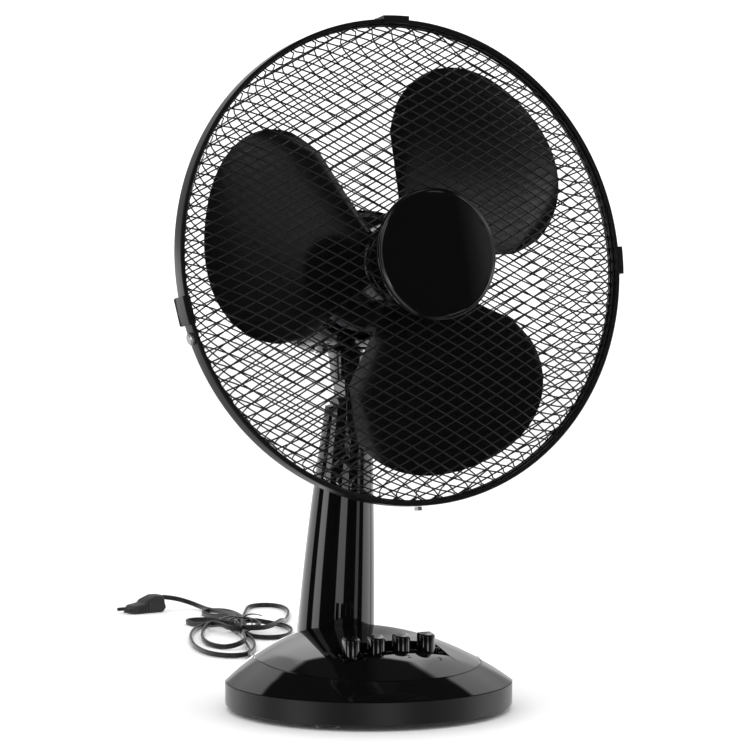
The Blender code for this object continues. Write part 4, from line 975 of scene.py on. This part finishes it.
def make_tie():
    """The black twist tie round the strands, with its two twisted ends."""
    rings = []
    for k in range(48):
        a = 2 * pi * k / 48
        x, z = 0.0125 * cos(a), 0.0080 * sin(a)
        size = (abs(cos(a)) ** 3 + abs(sin(a)) ** 3) ** (-1 / 3)
        spot = TIE + TIE_SIDE * x * size
        middle = Vector((*spot, 0.0083 + z * size * 0.97))
        outward = (TIE_SIDE.to_3d() * x * 0.7 + Vector((0, 0, z))).normalized()
        way = TIE_WAY.to_3d()
        rings.append([middle + way * u * 0.0024 + outward * v * 0.0006 for u, v in CORNERS])
    band = lofted(rings, closed=True)
    tails = []
    for sign in (-1, 1):
        line = []
        for way, side, height in TIE_TAIL:
            line.append(Vector((*(TIE + TIE_WAY * way * sign + TIE_SIDE * side * sign), height)))
        tails.append(strip(smooth_route(line, 0.002), 0.0020, 0.0005))
    return piece("cord_tie", combined(band, *tails), "base", "satin_black", bevel=0.0002)


def make_plug():
    """A moulded flat plug on its side, with a ribbed grip, two pins and a collar where the cord goes in."""
    outline = [
        (-0.0185, 0.0006), (0.0215, 0.0006), (0.0270, 0.0060), (0.0248, 0.0105), (0.0238, 0.0190),
        (0.0120, 0.0193), (-0.0010, 0.0150), (-0.0050, 0.0112), (-0.0200, 0.0090), (-0.0250, 0.0040),
        (-0.0250, 0.0006),
    ]
    half = 0.0125
    rings = []
    smooth = rounded(outline, 0.0022, 4)
    for k in range(13):
        t = 2 * k / 12 - 1
        y = half * sin(pi / 2 * t)
        shrink = 1 - 0.16 * abs(sin(pi / 2 * t)) ** 6
        rings.append([(x * (0.5 + 0.5 * shrink), y, 0.0006 + (z - 0.0006) * shrink) for x, z in smooth])
    centre = Matrix.Translation((0.0475, 0.6890, 0)) @ Matrix.Rotation(radians(9), 4, "Z")
    end = Matrix.Translation((0.0215, 0, 0))
    centre = centre @ end @ Matrix.Scale(0.86, 4, (1, 0, 0)) @ end.inverted()
    body = piece("plug_body", lofted(rings), "base", "rubber_black", ["plug"], centre, smooth=50)
    grooves = []
    for k in range(4):
        x = -0.0150 + k * 0.0042
        for y in (-half, half):
            grooves.append(block((0.0013, 0.0020, 0.0120), (x, y, 0.0075)))
    carve(body, [moved(combined(*grooves), centre)])
    pins = []
    for y in (-0.0075, 0.0075):
        pin = rod(0.0020, 0, 0.0120, 24, 0.0008)
        place = centre @ Matrix.Translation((-0.0235, y, 0.0046)) @ Matrix.Rotation(-pi / 2, 4, "Y")
        pins.append(moved(pin, place))
    carve(body, pins, "UNION")
    return body


def make_relief():
    """The tapered sleeve where the cord leaves the tray, ringed with grooves."""
    z = EXIT.z
    start = BASE_RADIUS
    length = RELIEF_END - start
    outline = [
        (0, -0.0060), (0.0065, -0.0060), (0.0065, -SHELL - 0.0004), (0.0043, -SHELL - 0.0004),
        (0.0043, 0.0004), (0.0062, 0.0004), (0.0062, 0.0030),
    ]
    for k in range(6):
        low = 0.0035 + k * (length - 0.0045) / 6
        wide = 0.0056 - 0.0020 * k / 6
        core = wide - 0.0011
        outline += [(wide, low), (wide - 0.0001, low + 0.0022), (core, low + 0.0024), (core, low + 0.0033)]
    outline += [(0.0034, length), (0, length)]
    stand = Matrix.Translation((0, start, z)) @ Matrix.Rotation(-pi / 2, 4, "X")
    piece("relief_sleeve", turned(outline, 40), "base", "rubber_black", ["strain_relief"], stand)


# Studio
def world_light():
    """A white studio all round and behind, with a dark room and a few tall strip lights in front."""
    world = bpy.data.worlds.new("studio")
    bpy.context.scene.world = world
    world.use_nodes = True
    tree = world.node_tree
    tree.nodes.clear()
    link = tree.links.new
    out = tree.nodes.new("ShaderNodeOutputWorld")

    def node(kind, **settings):
        made = tree.nodes.new(kind)
        for key, value in settings.items():
            setattr(made, key, value)
        return made

    place = node("ShaderNodeTexCoord")
    split = node("ShaderNodeSeparateXYZ")
    link(place.outputs["Generated"], split.inputs["Vector"])
    turn = node("ShaderNodeMath", operation="MULTIPLY")
    turn.inputs[1].default_value = -1
    link(split.outputs["Y"], turn.inputs[0])
    azimuth = node("ShaderNodeMath", operation="ARCTAN2")
    link(split.outputs["X"], azimuth.inputs[0])
    link(turn.outputs[0], azimuth.inputs[1])
    share = node("ShaderNodeMapRange")
    share.inputs["From Min"].default_value = -pi
    share.inputs["From Max"].default_value = pi
    link(azimuth.outputs[0], share.inputs["Value"])
    strips = node("ShaderNodeValToRGB")
    fill_ramp(strips.color_ramp, STRIPS, lambda azimuth: (azimuth + 180) / 360)
    link(share.outputs["Result"], strips.inputs["Fac"])
    rise = node("ShaderNodeMapRange")
    rise.inputs["From Min"].default_value = -1
    link(split.outputs["Z"], rise.inputs["Value"])
    heights = node("ShaderNodeValToRGB")
    fill_ramp(heights.color_ramp, HEIGHTS, lambda degree: (sin(radians(degree)) + 1) / 2)
    link(rise.outputs["Result"], heights.inputs["Fac"])
    both = node("ShaderNodeMix", data_type="RGBA", blend_type="MULTIPLY")
    both.inputs["Factor"].default_value = 1
    link(strips.outputs["Color"], both.inputs["A"])
    link(heights.outputs["Color"], both.inputs["B"])
    mirror = node("ShaderNodeBackground")
    link(both.outputs["Result"], mirror.inputs["Color"])
    mirror.inputs["Strength"].default_value = MIRRORED
    plain = node("ShaderNodeBackground")
    plain.inputs["Strength"].default_value = 1.3
    plain.inputs["Color"].default_value = (1, 1, 1, 1)
    ray = node("ShaderNodeLightPath")
    mix = node("ShaderNodeMixShader")
    link(ray.outputs["Is Glossy Ray"], mix.inputs[0])
    link(plain.outputs[0], mix.inputs[1])
    link(mirror.outputs[0], mix.inputs[2])
    link(mix.outputs[0], out.inputs["Surface"])


def fill_ramp(ramp, stops, share):
    """Sets the ramp to brightness stops of (angle, value), each angle at its share of the ramp."""
    while len(ramp.elements) > 1:
        ramp.elements.remove(ramp.elements[0])
    for i, (angle, value) in enumerate(stops):
        element = ramp.elements.new(share(angle)) if i else ramp.elements[0]
        element.position = share(angle)
        element.color = (value, value, value, 1)


# What gloss plastic mirrors, by azimuth (0 is in front, 90 on the right) and by height
MIRRORED = 4.0
STRIPS = [
    (-180, 0.5), (-120, 0.5), (-119, 0.006), (-96, 0.006), (-95, 0.9), (-71, 0.9), (-70, 0.006),
    (-24, 0.006), (-23, 0.8), (-1, 0.8), (0, 0.006), (32, 0.006), (33, 0.4), (42, 0.4), (43, 0.01),
    (57, 0.01), (60, 0.7), (94, 0.7), (97, 0.2), (106, 0.5), (139, 0.5), (141, 1.0), (149, 1.0),
    (151, 0.4), (159, 0.4), (161, 1.0), (171, 1.0), (173, 0.5), (180, 0.5),
]
HEIGHTS = [
    (-90, 0.2), (-20, 0.3), (-5, 1.0), (-1, 1.0), (3, 0.24), (16, 0.24), (27, 0.42), (41, 0.5),
    (43, 0.01), (90, 0.01),
]


def make_studio():
    bpy.context.scene.view_settings.view_transform = "Standard"
    world_light()
    bm = bmesh.new()
    bmesh.ops.create_circle(bm, cap_ends=True, segments=96, radius=9.0)
    floor = piece("floor", bm, look=material("white sweep", (0.93, 0.93, 0.93), 0.6, 0.05, tint=0.01))
    floor.visible_glossy = False
    for name, place, aim, size, power in (
        ("soft_box_top", (-0.5, -0.6, 2.6), (0, 0, 0.2), 1.8, 7),
        ("soft_box_left", (-2.2, -1.6, 1.6), (0, 0, 0.3), 1.2, 4),
        ("soft_box_back", (0.4, 2.6, 1.8), (0, 0, 0.3), 1.6, 5),
    ):
        light = bpy.data.lights.new(name, "AREA")
        light.shape = "DISK"
        light.size = size
        light.energy = power
        made = bpy.data.objects.new(name, light)
        made.location = place
        made.rotation_euler = (Vector(aim) - Vector(place)).to_track_quat("-Z", "Y").to_euler()
        made.visible_glossy = False
        made.visible_camera = False
        bpy.context.scene.collection.objects.link(made)


def make_camera():
    camera = bpy.data.cameras.new("camera")
    camera.lens = 133.3
    camera.sensor_width = 36
    camera.clip_end = 50
    made = bpy.data.objects.new("camera", camera)
    made.location = (-1.0900, -2.2498, 0.4232)
    made.rotation_euler = (radians(90 - 2.791), 0, radians(-25.98))
    bpy.context.scene.collection.objects.link(made)
    bpy.context.scene.camera = made


dress_cad_nodes()
make_camera()
make_cord()
make_base()
make_column()
make_bezel()
make_buttons()
make_marks()
make_fork()
make_neck()
make_grilles()
make_clips()
make_impeller()
make_motor_cover()
make_knob()
make_studio()
